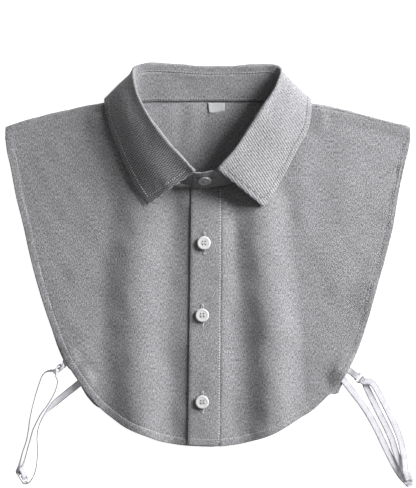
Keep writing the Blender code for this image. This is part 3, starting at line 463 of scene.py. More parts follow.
def hem_relief(x, y, line, seed):
    """The turned hem: a little raised, dimpled along its stitching, with small puckers beside it."""
    far, along = to_line(x, y, line)
    far, along = far * STEP, along * STEP
    wide = hem_wide(x)
    band = 0.24 * (1 - ease((far - wide + 0.9) / 1.5)) - 0.22 * np.exp(-(((far - wide) / 0.9) ** 2))
    pucker = waves(along, 0 * along, seed, 9.0, 8) * 0.16 * np.exp(-(((far - wide) / 4.5) ** 2))
    return band + pucker


def broad(x, y, seed):
    """Soft uneven swells and slight creases of cloth that has been folded away and smoothed out again."""
    u, v = x * STEP, y * STEP
    swell = 0.30 * waves(u, v, seed, 62) + 0.15 * waves(u, v, seed + 1, 27)
    return swell + 0.045 * waves(u, v, seed + 2, 11)


def pull(x, y):
    """The trough below the button side of the stand and the short slanting fold at its end."""
    rise = 0.7 * ease((x - 178) / 15) * (1 - ease((x - 200) / 45)) * ease((y - 196) / 12) * (1 - ease((y - 225) / 60))
    trough = rise - 1.1 * np.exp(-(((y - 197) / 6.0) ** 2) - ((x - 206) / 17) ** 4)
    down = (x - 219) * 0.35 + (y - 201)
    return trough + 0.7 * np.exp(-(((down + 3.5) / 3.6) ** 2) - ((x - 219) / 13) ** 2) - 0.5 * np.exp(-(((down - 4.5) / 4.5) ** 2) - ((x - 219) / 13) ** 2)


def front_relief(x, y):
    below = ease((y - seam_y(x) - 3) / 25)
    return hem_relief(x, y, LOWER_LINE, 5) + broad(x, y, 11) * below + pull(x, y)


def shell(name, grid, thick, uv, relief=0.0, puff=0.0, present=None):
    """Cloth of this thickness about a grid, with rounded edges. Returns the object and its upper side."""
    n, m = grid.shape[:2]
    present = np.ones((n - 1, m - 1), bool) if present is None else present
    relief, puff = np.broadcast_to(relief, (n, m)), np.broadcast_to(puff, (n, m))
    normal = unit(np.cross(np.gradient(grid, axis=0), np.gradient(grid, axis=1)))
    turned = np.median(normal[..., 2]) < 0
    if turned:
        grid, normal, present, uv = grid[:, ::-1], -normal[:, ::-1], present[:, ::-1], uv[:, ::-1]
        relief, puff = relief[:, ::-1], puff[:, ::-1]
    middle = grid + normal * (relief * MM)[..., None]
    normal = unit(np.cross(np.gradient(middle, axis=0), np.gradient(middle, axis=1)))
    half = ((thick / 2 + puff) * MM)[..., None]
    top, bottom = (middle + normal * half).reshape(-1, 3), (middle - normal * half).reshape(-1, 3)
    number = np.arange(n * m).reshape(n, m)
    quads = np.stack([number[:-1, :-1], number[1:, :-1], number[1:, 1:], number[:-1, 1:]], -1)[present]
    pairs = np.concatenate([quads[:, [k, (k + 1) % 4]] for k in range(4)])
    seen = set(map(tuple, pairs.tolist()))
    border = np.array([(a, b) for a, b in pairs.tolist() if (b, a) not in seen])
    flat_middle, flat_normal = middle.reshape(-1, 3), normal.reshape(-1, 3)
    away = np.zeros_like(flat_middle)
    side = np.cross(unit(flat_middle[border[:, 1]] - flat_middle[border[:, 0]]), flat_normal[border[:, 0]])
    np.add.at(away, border[:, 0], side)
    np.add.at(away, border[:, 1], side)
    rim = flat_middle + unit(away) * half.reshape(-1, 1) * 0.85
    total = n * m
    a, b = border[:, 0], border[:, 1]
    faces = np.concatenate([
        quads, quads[:, ::-1] + total,
        np.stack([b, a, a + 2 * total, b + 2 * total], 1), np.stack([b + 2 * total, a + 2 * total, a + total, b + total], 1),
    ])
    used = np.unique(faces)
    index = np.zeros(3 * total, int)
    index[used] = np.arange(len(used))
    points = np.concatenate([top, bottom, rim])[used]
    points[:, 2] = np.maximum(points[:, 2], 0.02 * MM)
    places = np.concatenate([uv.reshape(-1, 2)] * 3)[used]
    obj = mesh_of(name, points, index[faces], places)
    upper = top.reshape(n, m, 3)
    if turned:
        upper, normal = upper[:, ::-1], normal[:, ::-1]
    return obj, upper, normal


def mesh_of(name, points, faces, uv=None, smooth=True):
    mesh = bpy.data.meshes.new(name)
    mesh.from_pydata(np.asarray(points, float).tolist(), [], [list(map(int, f)) for f in faces])
    mesh.polygons.foreach_set("use_smooth", [smooth] * len(mesh.polygons))
    if uv is not None:
        layer = mesh.uv_layers.new(name="cloth")
        loops = np.empty(len(mesh.loops), np.int32)
        mesh.loops.foreach_get("vertex_index", loops)
        layer.data.foreach_set("uv", np.asarray(uv, np.float32)[loops].ravel())
    mesh.update()
    obj = bpy.data.objects.new(name, mesh)
    bpy.context.scene.collection.objects.link(obj)
    return obj


def face_out(obj):
    work = bmesh.new()
    work.from_mesh(obj.data)
    bmesh.ops.recalc_face_normals(work, faces=work.faces)
    work.to_mesh(obj.data)
    work.free()


def flat_uv(x, y):
    """Places on the cloth in centimetres, with the threads down and across."""
    return np.stack([x * STEP / 10, -y * STEP / 10], -1)


def hem_rows(high, low, x, near, count):
    """Rows of a panel that follow its hem closely, then run up to its top line."""
    slope = np.abs(np.gradient(low, x))
    room = low - high
    far = np.array([0, 0.5, 1.2, 2.2, 3.4, 4.4, 5.0, 5.5, 6.0, 6.5, 7.0, 7.6, 8.4, 9.6, 11.5, 14.0])
    hem = far[None, :] * np.sqrt(1 + slope[:, None] ** 2) / STEP
    hem = hem * np.minimum(1.0, room * 0.45 / hem[:, -1])[:, None]
    first = np.array(near, float)[None, :] * np.minimum(room[:, None] / 110, 0.5 / max(near) * 10)
    first = np.minimum(first, room[:, None] * 0.35 * np.array(near)[None, :] / max(near))
    start, stop = high[:, None] + first[:, -1:], low[:, None] - hem[:, -1:]
    rest = start + (stop - start) * np.linspace(0, 1, count + 1)[None, 1:-1]
    return np.concatenate([high[:, None] + first, rest, low[:, None] - hem[:, ::-1]], 1)


THIN = 0.8


def make_back():
    xs = columns(6.0, 410.0, 3.6, (6.0, 410.0), ())
    for edge in (NECK_LEFT, NECK_RIGHT):
        xs[np.argmin(abs(xs - edge))] = edge
    wall, roll = CLOTH / 2 / STEP, ROLL / STEP
    low = spline(xs, LOWER_EDGE, True) + spline(xs, BACK_BELOW, True)
    high = spline(xs, FOLD_EDGE, True) + wall + roll
    # The back of the neck reaches up to the stand, so that their seam closes
    tuck = 0.8 * ease((xs - NECK_LEFT) / 4) * ease((NECK_RIGHT - xs) / 4)
    y = hem_rows(high - tuck, low, xs, [0, 2, 4, 6, 8], 34)[:, ::-1]
    x = np.repeat(xs[:, None], y.shape[1], 1)
    z = CLOTH / 2 + LEAF_BELOW * over_leaf(x, y)
    flat = place(x, y, z)
    turn = np.linspace(0, math.pi, 13)[1:]
    y2 = high[:, None] - roll * np.sin(turn)
    z2 = z[:, -1:] + ROLL * (1 - np.cos(turn))
    y3 = seam_y(xs)[:, None]
    steps = np.linspace(0, 1, 7)[1:]
    y3 = high[:, None] + (y3 - high[:, None]) * steps
    lap = place(xs[:, None], y3, z2[:, -1:] + 0 * y3)
    grid = np.concatenate([flat, place(xs[:, None], y2, z2), lap], 1)
    present = np.ones((len(xs) - 1, grid.shape[1] - 1), bool)
    middle = (xs[:-1] + xs[1:]) / 2
    present[(middle > NECK_LEFT) & (middle < NECK_RIGHT), y.shape[1] - 1 :] = False
    # The back lies on the table, so its swells stay shallow.
    relief = np.zeros(grid.shape[:2])
    lying = np.clip(hem_relief(x, y, BACK_LINE, 7) * 0.5 + 0.05 * broad(x, y, 31), -0.12, 0.3)
    relief[:, : y.shape[1]] = lying + neck_creases(x, y)
    over = 2 * (high[:, None] - roll / 2) - y2
    tail = np.concatenate([y2, y3], 1)
    relief[:, y.shape[1] :] = 0.13 * waves(xs[:, None] * STEP, tail * STEP, 41, 16) + 0 * tail
    relief[:, -2:] -= 0.10
    run = np.concatenate([y, 2 * high[:, None] - tail + 0 * over[:, :1]], 1)
    uv = flat_uv(np.repeat(xs[:, None], run.shape[1], 1), run)
    return shell("back_cloth", grid, THIN, uv, relief, 0.0, present)


def neck_creases(x, y):
    """Two shallow creases that run down the back from its neck seam, seen inside the collar."""
    lasting = ease((y - 100) / 6) * (1 - ease((y - 135) / 40))
    rise = 0.0
    for middle, drift, high, climb, start, end in ((187, -0.10, 1.3, 6, 7, 24), (213, -0.16, 0.7, 6, 6, 26), (163, 0.05, 0.5, 8, 6, 20)):
        past = x - middle - drift * (y - 100)
        rise = rise + high * ease((past + climb) / (2 * climb)) * (1 - ease((past - start) / (end - start)))
    return rise * lasting


def front_top(xs):
    neck = spline(xs, NECKLINE, True)
    outside = (xs < NECK_LEFT) | (xs > NECK_RIGHT)
    return np.where(outside, seam_y(xs) + GAP / STEP + 0.15, neck)


def make_front(name, first, last, height, fine):
    xs = columns(first, last, 2.6, fine)
    for edge in (NECK_LEFT, NECK_RIGHT):
        if first < edge < last:
            xs[np.argmin(abs(xs - edge))] = edge
    y = hem_rows(front_top(xs), spline(xs, LOWER_EDGE, True), xs, [0, 1.2, 2.6, 4.4, 7, 10], 62)
    x = np.repeat(xs[:, None], y.shape[1], 1)
    return shell(name, place(lean(x, y), y, height(x, y)), THIN, flat_uv(x, y), front_relief(x, y), hem_puff(x, y))


def hem_puff(x, y):
    """Extra thickness of the turned hem."""
    far, _ = to_line(x, y, LOWER_LINE)
    return 0.16 * (1 - ease((far * STEP - hem_wide(x) + 0.4) / 0.8))


def make_band():
    """The buttonhole band: a folded edge at the left, a stitched join at the right."""
    xs = np.concatenate([[BAND_LEFT, BAND_LEFT + 0.4, BAND_LEFT + 1.0], np.linspace(193.6, 218.4, 16), [219.4, 220.3, BAND_RIGHT - 0.1]])
    low = spline(xs, LOWER_EDGE, True) - 0.6
    high = front_top(xs)
    rows = np.linspace(0, 1, 190)
    x = np.repeat(xs[:, None], len(rows), 1)
    y = low[:, None] + (high - low)[:, None] * rows
    return shell("placket_cloth", place(lean(x, y), y, over_z(x, y)), 1.05, flat_uv(x, y), band_relief(x, y))


def band_relief(x, y):
    at_hem = hem_relief(x, y, LOWER_LINE, 5)
    down = y * STEP
    roll = -0.30 * np.exp(-(((x - BAND_LEFT) / 1.1) ** 2))
    stitch = -0.16 * np.exp(-(((x - 220.2) / 0.9) ** 2))
    pucker = 0.07 * waves(down, 0 * down, 17, 6.0, 8) * np.exp(-(((x - 220.2) / 5) ** 2))
    holes = 0.0
    for bx, by in BUTTONS:
        near = np.exp(-(((x - bx) / 9) ** 2) - ((y - by) / 14) ** 2)
        holes = holes - 0.25 * near
    return at_hem * 0.6 + roll + stitch + pucker + holes + 0.8 * broad(x, y, 11) + pull(x, y)


BUTTONS = [(204.3, 243.0), (203.4, 315.2), (204.2, 401.8)]


def arc(grid, axis):
    """Distance along one direction of a grid, in millimetres, from its first row."""
    step = np.linalg.norm(np.diff(grid, axis=axis), axis=2) / MM
    pad = np.zeros_like(np.take(step, [0], axis=axis))
    return np.concatenate([pad, np.cumsum(step, axis=axis)], axis)


def make_leaf():
    grid = leaf_grid(170, 5, 30)
    across, along = arc(grid, 1), arc(grid, 0)
    far = np.minimum(across[:, -1:] - across, np.minimum(along, along[-1:] - along))
    band = 0.10 * (1 - ease((far - 4.2) / 1.4)) - 0.16 * np.exp(-(((far - 5.0) / 0.8) ** 2))
    side = along.mean(1, keepdims=True) + 0 * across
    pucker = 0.09 * waves(side, across, 23, 8.0, 10) * np.exp(-(((far - 5.0) / 4.0) ** 2))
    swell = 0.22 * waves(side, across, 24, 44) + 0.08 * waves(side, across, 25, 17)
    hold = ease(far / 3.0)
    relief = band + pucker + swell * (0.35 + 0.65 * hold)
    uv = np.stack([side / 10, across / 10], -1)
    return shell("leaf_cloth", grid, 1.05, uv, relief), far, across, along


def make_stand():
    bottom, top = stand_rows(60)
    run = np.concatenate([[0], np.cumsum(np.linalg.norm(np.diff(bottom + top, axis=0), axis=1))])
    rows = spline(np.linspace(0, run[-1], 230), np.column_stack([run, bottom, top]))
    t = np.linspace(0, 1, 18)[None, :, None]
    grid = rows[:, None, 0:3] * (1 - t) + rows[:, None, 3:6] * t
    across, along = arc(grid, 1), arc(grid, 0)
    side = along.mean(1, keepdims=True) + 0 * across
    relief = 0.14 * waves(side, across, 33, 26) + 0.05 * waves(side, across, 34, 9)
    for far in (across - 2.2, across[:, -1:] - across - 2.6):
        relief = relief - 0.12 * np.exp(-((far / 0.8) ** 2))
        relief = relief + 0.06 * waves(side, 0 * side, 35, 6.0, 8) * np.exp(-((far / 2.5) ** 2))
    puff = -0.22 * (1 - ease(across / 2.6))
    uv = np.stack([side / 10, across / 10], -1)
    return shell("stand_cloth", grid, 0.95, uv, relief + puff, puff), across


# stitching


def resample(line, pitch, *more):
    """A polyline in metres at an even pitch in millimetres, with rows of vectors carried along."""
    run = np.concatenate([[0], np.cumsum(np.linalg.norm(np.diff(line, axis=0), axis=1))]) / MM
    at = np.arange(0, run[-1], pitch)
    rows = [np.stack([np.interp(at, run, part[:, k]) for k in range(3)], 1) for part in (line,) + more]
    return rows if more else rows[0]


def stitches(name, runs, pitch=2.3, length=1.75, thick=0.34, around=6, lift=0.10):
    """Lock stitches along lines that lie on the cloth: each run is a line of places and their normals."""
    points, faces = [], []
    shape = [(0.06, 0.45), (0.28, 0.95), (0.72, 0.95), (0.94, 0.45)]
    for line, normal in runs:
        at, up = resample(line, pitch / 12, normal)
        per = 12
        span = int(round(length / pitch * per))
        for k in range(0, len(at) - span, per):
            p0, p1, out = at[k], at[k + span], unit(up[k + span // 2])
            ahead = unit(p1 - p0)
            side = unit(np.cross(out, ahead))
            base = len(points)
            points.append(p0 - out * 0.10 * MM)
            for t, w in shape:
                middle = p0 * (1 - t) + p1 * t + out * (lift + 0.10 * math.sin(math.pi * t)) * MM
                for q in range(around):
                    a = 2 * math.pi * q / around
                    points.append(middle + (side * math.cos(a) + out * math.sin(a)) * thick / 2 * w * MM)
            points.append(p1 - out * 0.10 * MM)
            for q in range(around):
                nxt = (q + 1) % around
                faces.append((base, base + 1 + nxt, base + 1 + q))
                for r in range(len(shape) - 1):
                    a = base + 1 + r * around
                    faces.append((a + q, a + nxt, a + around + nxt, a + around + q))
                a = base + 1 + (len(shape) - 1) * around
                faces.append((a + q, a + nxt, base + 1 + len(shape) * around))
    obj = mesh_of(name, np.maximum(points, (-9, -9, 0.02 * MM)), faces)
    face_out(obj)
    return obj


def needle_hole_shades(name, runs, pitch=2.3, length=1.75, wide=0.40):
    """Painted shade of the dimple between two stitches, where the thread goes down: a small dark lens on the cloth."""
    points, faces = [], []
    for line, normal in runs:
        at, up = resample(line, pitch / 12, normal)
        first = int(round((length + (pitch - length) / 2) / pitch * 12))
        for k in range(first, len(at) - 2, 12):
            out, ahead = unit(up[k]), unit(at[min(k + 2, len(at) - 1)] - at[k - 2])
            side = unit(np.cross(out, ahead))
            base = len(points)
            points.append(at[k] + out * 0.07 * MM)
            for q in range(8):
                a = math.pi * q / 4
                points.append(at[k] + (side * math.cos(a) + ahead * math.sin(a) * 1.15 + out * 0.02) * wide * MM)
            points.append(at[k] - out * 0.12 * MM)
            for q in range(8):
                nxt = (q + 1) % 8
                faces += [(base, base + 1 + q, base + 1 + nxt), (base + 9, base + 1 + nxt, base + 1 + q)]
    obj = mesh_of(name, np.maximum(points, (-9, -9, 0.03 * MM)), faces)
    face_out(obj)
    return obj


def sew(name, runs, material, pitch=2.3, length=1.75, thick=0.36, wide=0.40):
    """Topstitching, with dark lenses of painted shade at its needle holes."""
    show(stitches(name, runs, pitch, length, thick), material, "cloth")
    show(needle_hole_shades(name + "_hole_shade", runs, pitch, length, wide), painted_shade_dark, "cloth")


def level_run(x, y, height):
    """A run on a panel: places on the sheet with the height of the cloth's upper side there, in millimetres."""
    line = place(lean(x, y), y, height(x, y))
    d = 1.0
    ahead = place(lean(x + d, y), y, height(x + d, y)) - place(lean(x - d, y), y, height(x - d, y))
    down = place(lean(x, y - d), y - d, height(x, y - d)) - place(lean(x, y + d), y + d, height(x, y + d))
    return line, unit(np.cross(ahead, down))


def under_top(x, y):
    return front_z(x, y) + front_relief(x, y) + THIN / 2 + hem_puff(x, y)


def over_top(x, y):
    return over_z(x, y) + front_relief(x, y) + THIN / 2 + hem_puff(x, y)


def band_top(x, y):
    return over_z(x, y) + band_relief(x, y) + 1.05 / 2


def surface_top(x, y):
    """Height of the outermost cloth of the fronts."""
    return np.where(x < BAND_LEFT, under_top(x, y), np.where(x < BAND_RIGHT - 0.4, band_top(x, y), over_top(x, y)))


def inset_line(line, far):
    """A line moved inward from the panels' edge by this many steps."""
    ahead = unit(np.gradient(line, axis=0))
    moved = line + np.stack([ahead[:, 1], -ahead[:, 0]], -1) * far[:, None]
    return moved


def on_grid(surface, i, j):
    """A place on a grid at fractional rows and columns."""
    n, m = surface.shape[:2]
    i, j = np.clip(i, 0, n - 1.001), np.clip(j, 0, m - 1.001)
    i0, j0 = i.astype(int), j.astype(int)
    s, t = (i - i0)[:, None], (j - j0)[:, None]
    return (
        surface[i0, j0] * (1 - s) * (1 - t) + surface[i0 + 1, j0] * s * (1 - t)
        + surface[i0, j0 + 1] * (1 - s) * t + surface[i0 + 1, j0 + 1] * s * t
    )


# materials


def new_material(name, rough, sheen=0.0, coat=0.0):
    material = bpy.data.materials.new(name)
    material.use_nodes = True
    tree = material.node_tree
    shader = tree.nodes["Principled BSDF"]
    shader.inputs["Roughness"].default_value = rough
    shader.inputs["Sheen Weight"].default_value = sheen
    shader.inputs["Sheen Roughness"].default_value = 0.5
    shader.inputs["Coat Weight"].default_value = coat
    shader.inputs["Coat Roughness"].default_value = 0.15
    return material, tree, shader


def node(tree, kind, **inputs):
    made = tree.nodes.new(kind)
    for key, value in inputs.items():
        if hasattr(made, key):
            setattr(made, key, value)
        else:
            made.inputs[key.replace("_", " ")].default_value = value
    return made


def stretched(tree, source, scale, detail=2.0, rough=0.6):
    """Noise stretched by these scales."""
    spread = node(tree, "ShaderNodeMapping")
    spread.inputs["Scale"].default_value = scale
    tree.links.new(source, spread.inputs["Vector"])
    noise = node(tree, "ShaderNodeTexNoise", Scale=1.0, Detail=detail, Roughness=rough)
    tree.links.new(spread.outputs["Vector"], noise.inputs["Vector"])
    return noise.outputs["Fac"]


def maths(tree, what, a, b=None, c=None):
    made = tree.nodes.new("ShaderNodeMath")
    made.operation = what
    for k, value in enumerate((a, b, c)):
        if value is None:
            continue
        if isinstance(value, (int, float)):
            made.inputs[k].default_value = value
        else:
            tree.links.new(value, made.inputs[k])
    return made.outputs[0]


def coordinates(tree, uv):
    if uv:
        made = tree.nodes.new("ShaderNodeUVMap")
        made.uv_map = "cloth"
        return made.outputs["UV"]
    return tree.nodes.new("ShaderNodeTexCoord").outputs["Object"]


def chambray(name, dark, pale, ribs=None):
    """Plain weave of a pale weft through a grey warp, with thick and thin threads. Collar cloth shows its ribs."""
    material, tree, shader = new_material(name, 0.92, 0.10)
    at = coordinates(tree, True)
    warp = stretched(tree, at, (13.0, 4.2, 1.0), 2.0, 0.65)
    weft = stretched(tree, at, (5.0, 13.0, 1.0), 2.0, 0.65)
    speck = stretched(tree, at, (9.0, 9.0, 1.0), 2.0, 0.7)
    cloud = stretched(tree, at, (0.5, 0.5, 1.0), 2.0)
    apart = tree.nodes.new("ShaderNodeSeparateXYZ")
    tree.links.new(at, apart.inputs[0])
    u, v = apart.outputs[0], apart.outputs[1]
    # Threads at 24 to the centimetre
    across = maths(tree, "SINE", maths(tree, "MULTIPLY", u, 24 * 2 * math.pi))
    down = maths(tree, "SINE", maths(tree, "MULTIPLY", v, 24 * 2 * math.pi))
    weave = maths(tree, "MULTIPLY", across, down)
    mixed = maths(tree, "MULTIPLY_ADD", warp, 0.56, maths(tree, "MULTIPLY", weft, 0.28))
    mixed = maths(tree, "MULTIPLY_ADD", speck, 0.14, mixed)
    mixed = maths(tree, "MULTIPLY_ADD", cloud, 0.02, mixed)
    mixed = maths(tree, "MULTIPLY_ADD", weave, 0.03, mixed)
    height = maths(tree, "MULTIPLY_ADD", weave, 0.25, mixed)
    if ribs is not None:
        # The ribs run slantwise across the leaf, the two ends mirrored
        first = maths(tree, "MULTIPLY", maths(tree, "MULTIPLY_ADD", u, 5.3, maths(tree, "MULTIPLY", v, 1.2)), 2 * math.pi)
        second = maths(tree, "MULTIPLY", maths(tree, "MULTIPLY_ADD", u, 4.54, maths(tree, "MULTIPLY", v, -1.2)), 2 * math.pi)
        later = maths(tree, "GREATER_THAN", u, ribs)
        phase = maths(tree, "ADD", maths(tree, "MULTIPLY", first, maths(tree, "SUBTRACT", 1.0, later)),
                      maths(tree, "MULTIPLY", second, later))
        phase = maths(tree, "MULTIPLY_ADD", cloud, 4.0, phase)
        # The first half shows both slants, as a fine diamond
        mirrored = maths(tree, "MULTIPLY", maths(tree, "MULTIPLY_ADD", u, 5.3, maths(tree, "MULTIPLY", v, -1.6)), 2 * math.pi)
        both = maths(tree, "MULTIPLY", maths(tree, "SINE", mirrored), maths(tree, "SUBTRACT", 0.75, maths(tree, "MULTIPLY", later, 0.75)))
        rib = maths(tree, "ADD", maths(tree, "SINE", phase), both)
        rib = maths(tree, "MULTIPLY", rib, maths(tree, "MULTIPLY_ADD", speck, 1.6, -0.1))
        from_nape = maths(tree, "ABSOLUTE", maths(tree, "SUBTRACT", u, ribs))
        for source, start, wide in ((v, 0.62, 0.3), (from_nape, 7.0, 7.0)):
            fade = node(tree, "ShaderNodeMapRange")
            fade.inputs["From Min"].default_value, fade.inputs["From Max"].default_value = start, start + wide
            tree.links.new(source, fade.inputs["Value"])
            rib = maths(tree, "MULTIPLY", rib, fade.outputs["Result"])
        strength = maths(tree, "MULTIPLY_ADD", later, -0.03, 0.18)
        mixed = maths(tree, "ADD", maths(tree, "MULTIPLY", rib, strength), mixed)
        height = maths(tree, "MULTIPLY_ADD", rib, 0.35, height)
    ramp = tree.nodes.new("ShaderNodeValToRGB")
    ramp.color_ramp.elements[0].position, ramp.color_ramp.elements[0].color = 0.37, (*dark, 1)
    ramp.color_ramp.elements[1].position, ramp.color_ramp.elements[1].color = 0.63, (*pale, 1)
    tree.links.new(mixed, ramp.inputs[0])
    tree.links.new(ramp.outputs[0], shader.inputs["Base Color"])
    bump = node(tree, "ShaderNodeBump", Strength=0.7, Distance=0.00045)
    tree.links.new(height, bump.inputs["Height"])
    tree.links.new(bump.outputs["Normal"], shader.inputs["Normal"])
    return material


def thread(name, colour):
    """Twisted sewing thread."""
    material, tree, shader = new_material(name, 0.7, 0.2)
    at = coordinates(tree, False)
    noise = stretched(tree, at, (2500, 2500, 2500), 1.0)
    ramp = tree.nodes.new("ShaderNodeValToRGB")
    ramp.color_ramp.elements[0].position, ramp.color_ramp.elements[0].color = 0.35, (*[c * 0.8 for c in colour], 1)
    ramp.color_ramp.elements[1].position, ramp.color_ramp.elements[1].color = 0.65, (*colour, 1)
    tree.links.new(noise, ramp.inputs[0])
    tree.links.new(ramp.outputs[0], shader.inputs["Base Color"])
    return material


def elastic(name, colour, painted_glow):
    """Woven elastic: fine cords along it, crossed by close covering threads, with painted shade at its edges and a
    painted glow.
    """
    material, tree, shader = new_material(name, 0.75, 0.15)
    at = coordinates(tree, True)
    apart = tree.nodes.new("ShaderNodeSeparateXYZ")
    tree.links.new(at, apart.inputs[0])
    cords = maths(tree, "SINE", maths(tree, "MULTIPLY", apart.outputs[1], 16 * 2 * math.pi))
    cover = maths(tree, "SINE", maths(tree, "MULTIPLY", apart.outputs[0], 13 * 2 * math.pi))
    noise = stretched(tree, at, (9.0, 14.0, 1.0), 2.0)
    wear = stretched(tree, at, (1.3, 1.3, 1.0), 2.0)
    height = maths(tree, "MULTIPLY_ADD", cords, 0.35, maths(tree, "MULTIPLY_ADD", cover, 0.3, noise))
    tone = maths(tree, "MULTIPLY_ADD", height, 0.22, maths(tree, "MULTIPLY", wear, 0.6))
    # Painted shade: darker towards both edges, where elastic standing on edge shows its shaded side
    painted_edge_shade = node(tree, "ShaderNodeMapRange")
    painted_edge_shade.inputs["From Min"].default_value = (ELASTIC_WIDE / 2 - 1.3) / 10
    painted_edge_shade.inputs["From Max"].default_value = (ELASTIC_WIDE / 2 - 0.15) / 10
    tree.links.new(maths(tree, "ABSOLUTE", apart.outputs[1]), painted_edge_shade.inputs["Value"])
    tone = maths(tree, "MULTIPLY_ADD", painted_edge_shade.outputs["Result"], -0.45, tone)
    ramp = tree.nodes.new("ShaderNodeValToRGB")
    ramp.color_ramp.elements[0].position, ramp.color_ramp.elements[0].color = 0.0, (*[c * 0.34 for c in colour], 1)
    ramp.color_ramp.elements[1].position, ramp.color_ramp.elements[1].color = 0.5, (*colour, 1)
    ramp.color_ramp.elements.new(0.25).color = (*[c * 0.8 for c in colour], 1)
    tree.links.new(tone, ramp.inputs[0])
    # Painted light: the elastic glows a little, lifting its shaded parts
    tree.links.new(ramp.outputs[0], shader.inputs["Emission Color"])
    shader.inputs["Emission Strength"].default_value = painted_glow
    tree.links.new(ramp.outputs[0], shader.inputs["Base Color"])
    bump = node(tree, "ShaderNodeBump", Strength=0.6, Distance=0.0003)
    tree.links.new(height, bump.inputs["Height"])
    tree.links.new(bump.outputs["Normal"], shader.inputs["Normal"])
    return material


def resin(name, colour):
    """Polished button resin, a little cloudy, with fine turning marks."""
    material, tree, shader = new_material(name, 0.28, 0.0, 0.35)
    shader.inputs["Subsurface Weight"].default_value = 0.08
    shader.inputs["Subsurface Radius"].default_value = (0.8, 0.8, 0.8)
    shader.inputs["Subsurface Scale"].default_value = 0.001
    at = coordinates(tree, False)
    cloud = stretched(tree, at, (260, 260, 260), 2.0)
    ramp = tree.nodes.new("ShaderNodeValToRGB")
    ramp.color_ramp.elements[0].position, ramp.color_ramp.elements[0].color = 0.3, (*[c * 0.88 for c in colour], 1)
    ramp.color_ramp.elements[1].position, ramp.color_ramp.elements[1].color = 0.7, (*colour, 1)
    tree.links.new(cloud, ramp.inputs[0])
    tree.links.new(ramp.outputs[0], shader.inputs["Base Color"])
    bump = node(tree, "ShaderNodeBump", Strength=0.15, Distance=0.0001)
    tree.links.new(stretched(tree, at, (1800, 1800, 200), 2.0), bump.inputs["Height"])
    tree.links.new(bump.outputs["Normal"], shader.inputs["Normal"])
    return material


def coated(name, colour):
    """Enamelled wire and moulded fittings."""
    material, tree, shader = new_material(name, 0.35, 0.0, 0.2)
    at = coordinates(tree, False)
    cloud = stretched(tree, at, (420, 420, 420), 3.0)
    ramp = tree.nodes.new("ShaderNodeValToRGB")
    ramp.color_ramp.elements[0].position, ramp.color_ramp.elements[0].color = 0.3, (*[c * 0.82 for c in colour], 1)
    ramp.color_ramp.elements[1].position, ramp.color_ramp.elements[1].color = 0.62, (*colour, 1)
    tree.links.new(cloud, ramp.inputs[0])
    tree.links.new(ramp.outputs[0], shader.inputs["Base Color"])
    bump = node(tree, "ShaderNodeBump", Strength=0.2, Distance=0.0001)
    tree.links.new(cloud, bump.inputs["Height"])
    tree.links.new(bump.outputs["Normal"], shader.inputs["Normal"])
    return material


def tape(name, colour):
    """Smooth woven label tape with a fine cross rib."""
    material, tree, shader = new_material(name, 0.6, 0.25)
    at = coordinates(tree, True)
    apart = tree.nodes.new("ShaderNodeSeparateXYZ")
    tree.links.new(at, apart.inputs[0])
    rib = maths(tree, "SINE", maths(tree, "MULTIPLY", apart.outputs[1], 28 * 2 * math.pi))
    noise = stretched(tree, at, (30.0, 8.0, 1.0), 2.0)
    height = maths(tree, "MULTIPLY_ADD", rib, 0.25, noise)
    ramp = tree.nodes.new("ShaderNodeValToRGB")
    ramp.color_ramp.elements[0].position, ramp.color_ramp.elements[0].color = 0.2, (*[c * 0.8 for c in colour], 1)
    ramp.color_ramp.elements[1].position, ramp.color_ramp.elements[1].color = 0.7, (*colour, 1)
    tree.links.new(height, ramp.inputs[0])
    tree.links.new(ramp.outputs[0], shader.inputs["Base Color"])
    bump = node(tree, "ShaderNodeBump", Strength=0.4, Distance=0.0002)
    tree.links.new(height, bump.inputs["Height"])
    tree.links.new(bump.outputs["Normal"], shader.inputs["Normal"])
    return material


# elastic, fittings, buttons


def ribbon(name, course, step):
    """Flat elastic with soft edges and fine cords along it. Returns the object, its line, width and upper side."""
    line, wide = np.array([c[0] for c in course]), np.array([c[1] for c in course])
    run = np.concatenate([[0], np.cumsum(np.linalg.norm(np.diff(line, axis=0), axis=1))])
    at = [run[0]]
    for a, b in zip(run[:-1], run[1:]):
        count = max(2, round((b - a) / (step * MM)))
        at += list(np.linspace(a, b, count + 1)[1:])
    at = np.array(at)
    out = spline(at, np.column_stack([run, line, wide]))
    line, wide = out[:, :3], out[:, 3:]
    along = unit(np.gradient(line, axis=0))
    wide = unit(wide - along * (wide * along).sum(-1, keepdims=True))
    normal = unit(np.cross(along, wide))
    half, thick = ELASTIC_WIDE / 2, ELASTIC_THICK * 0.46
    places = np.linspace(-1, 1, 13)
    cords = thick * (1 - 0.13 * (1 + np.cos(places * math.pi * 6)) / 2) * np.sqrt(np.clip(1 - (np.abs(places) ** 8), 0.05, 1))
    ring = [(s * half, c) for s, c in zip(places, cords)] + [(s * half, -c) for s, c in zip(places[::-1], cords[::-1])]
    ring = np.array(ring)
    corners = line[:, None] + (wide[:, None] * ring[None, :, :1] + normal[:, None] * ring[None, :, 1:]) * MM
    n, k = corners.shape[:2]
    number = np.arange(n * k).reshape(n, k)
    after = np.roll(number, -1, 1)
    faces = np.stack([number[:-1], after[:-1], after[1:], number[1:]], -1).reshape(-1, 4).tolist()
    faces += [list(range(k))[::-1], list(range((n - 1) * k, n * k))]
    uv = np.stack([np.repeat(at[:, None] / MM / 10, k, 1), np.repeat(ring[None, :, 0] / 10, n, 0)], -1).reshape(-1, 2)
    obj = mesh_of(name, corners.reshape(-1, 3), faces, uv)
    face_out(obj)
    return obj, line, wide, normal


def apply_modifiers(obj):
    bpy.context.view_layer.update()
    seen = obj.evaluated_get(bpy.context.evaluated_depsgraph_get())
    mesh = bpy.data.meshes.new_from_object(seen)
    obj.modifiers.clear()
    obj.data = mesh


def pose_of(across, up, at):
    rows = np.eye(4)
    rows[:3, 0], rows[:3, 1], rows[:3, 2], rows[:3, 3] = across, np.cross(up, across), up, at
    return Matrix([list(map(float, row)) for row in rows])


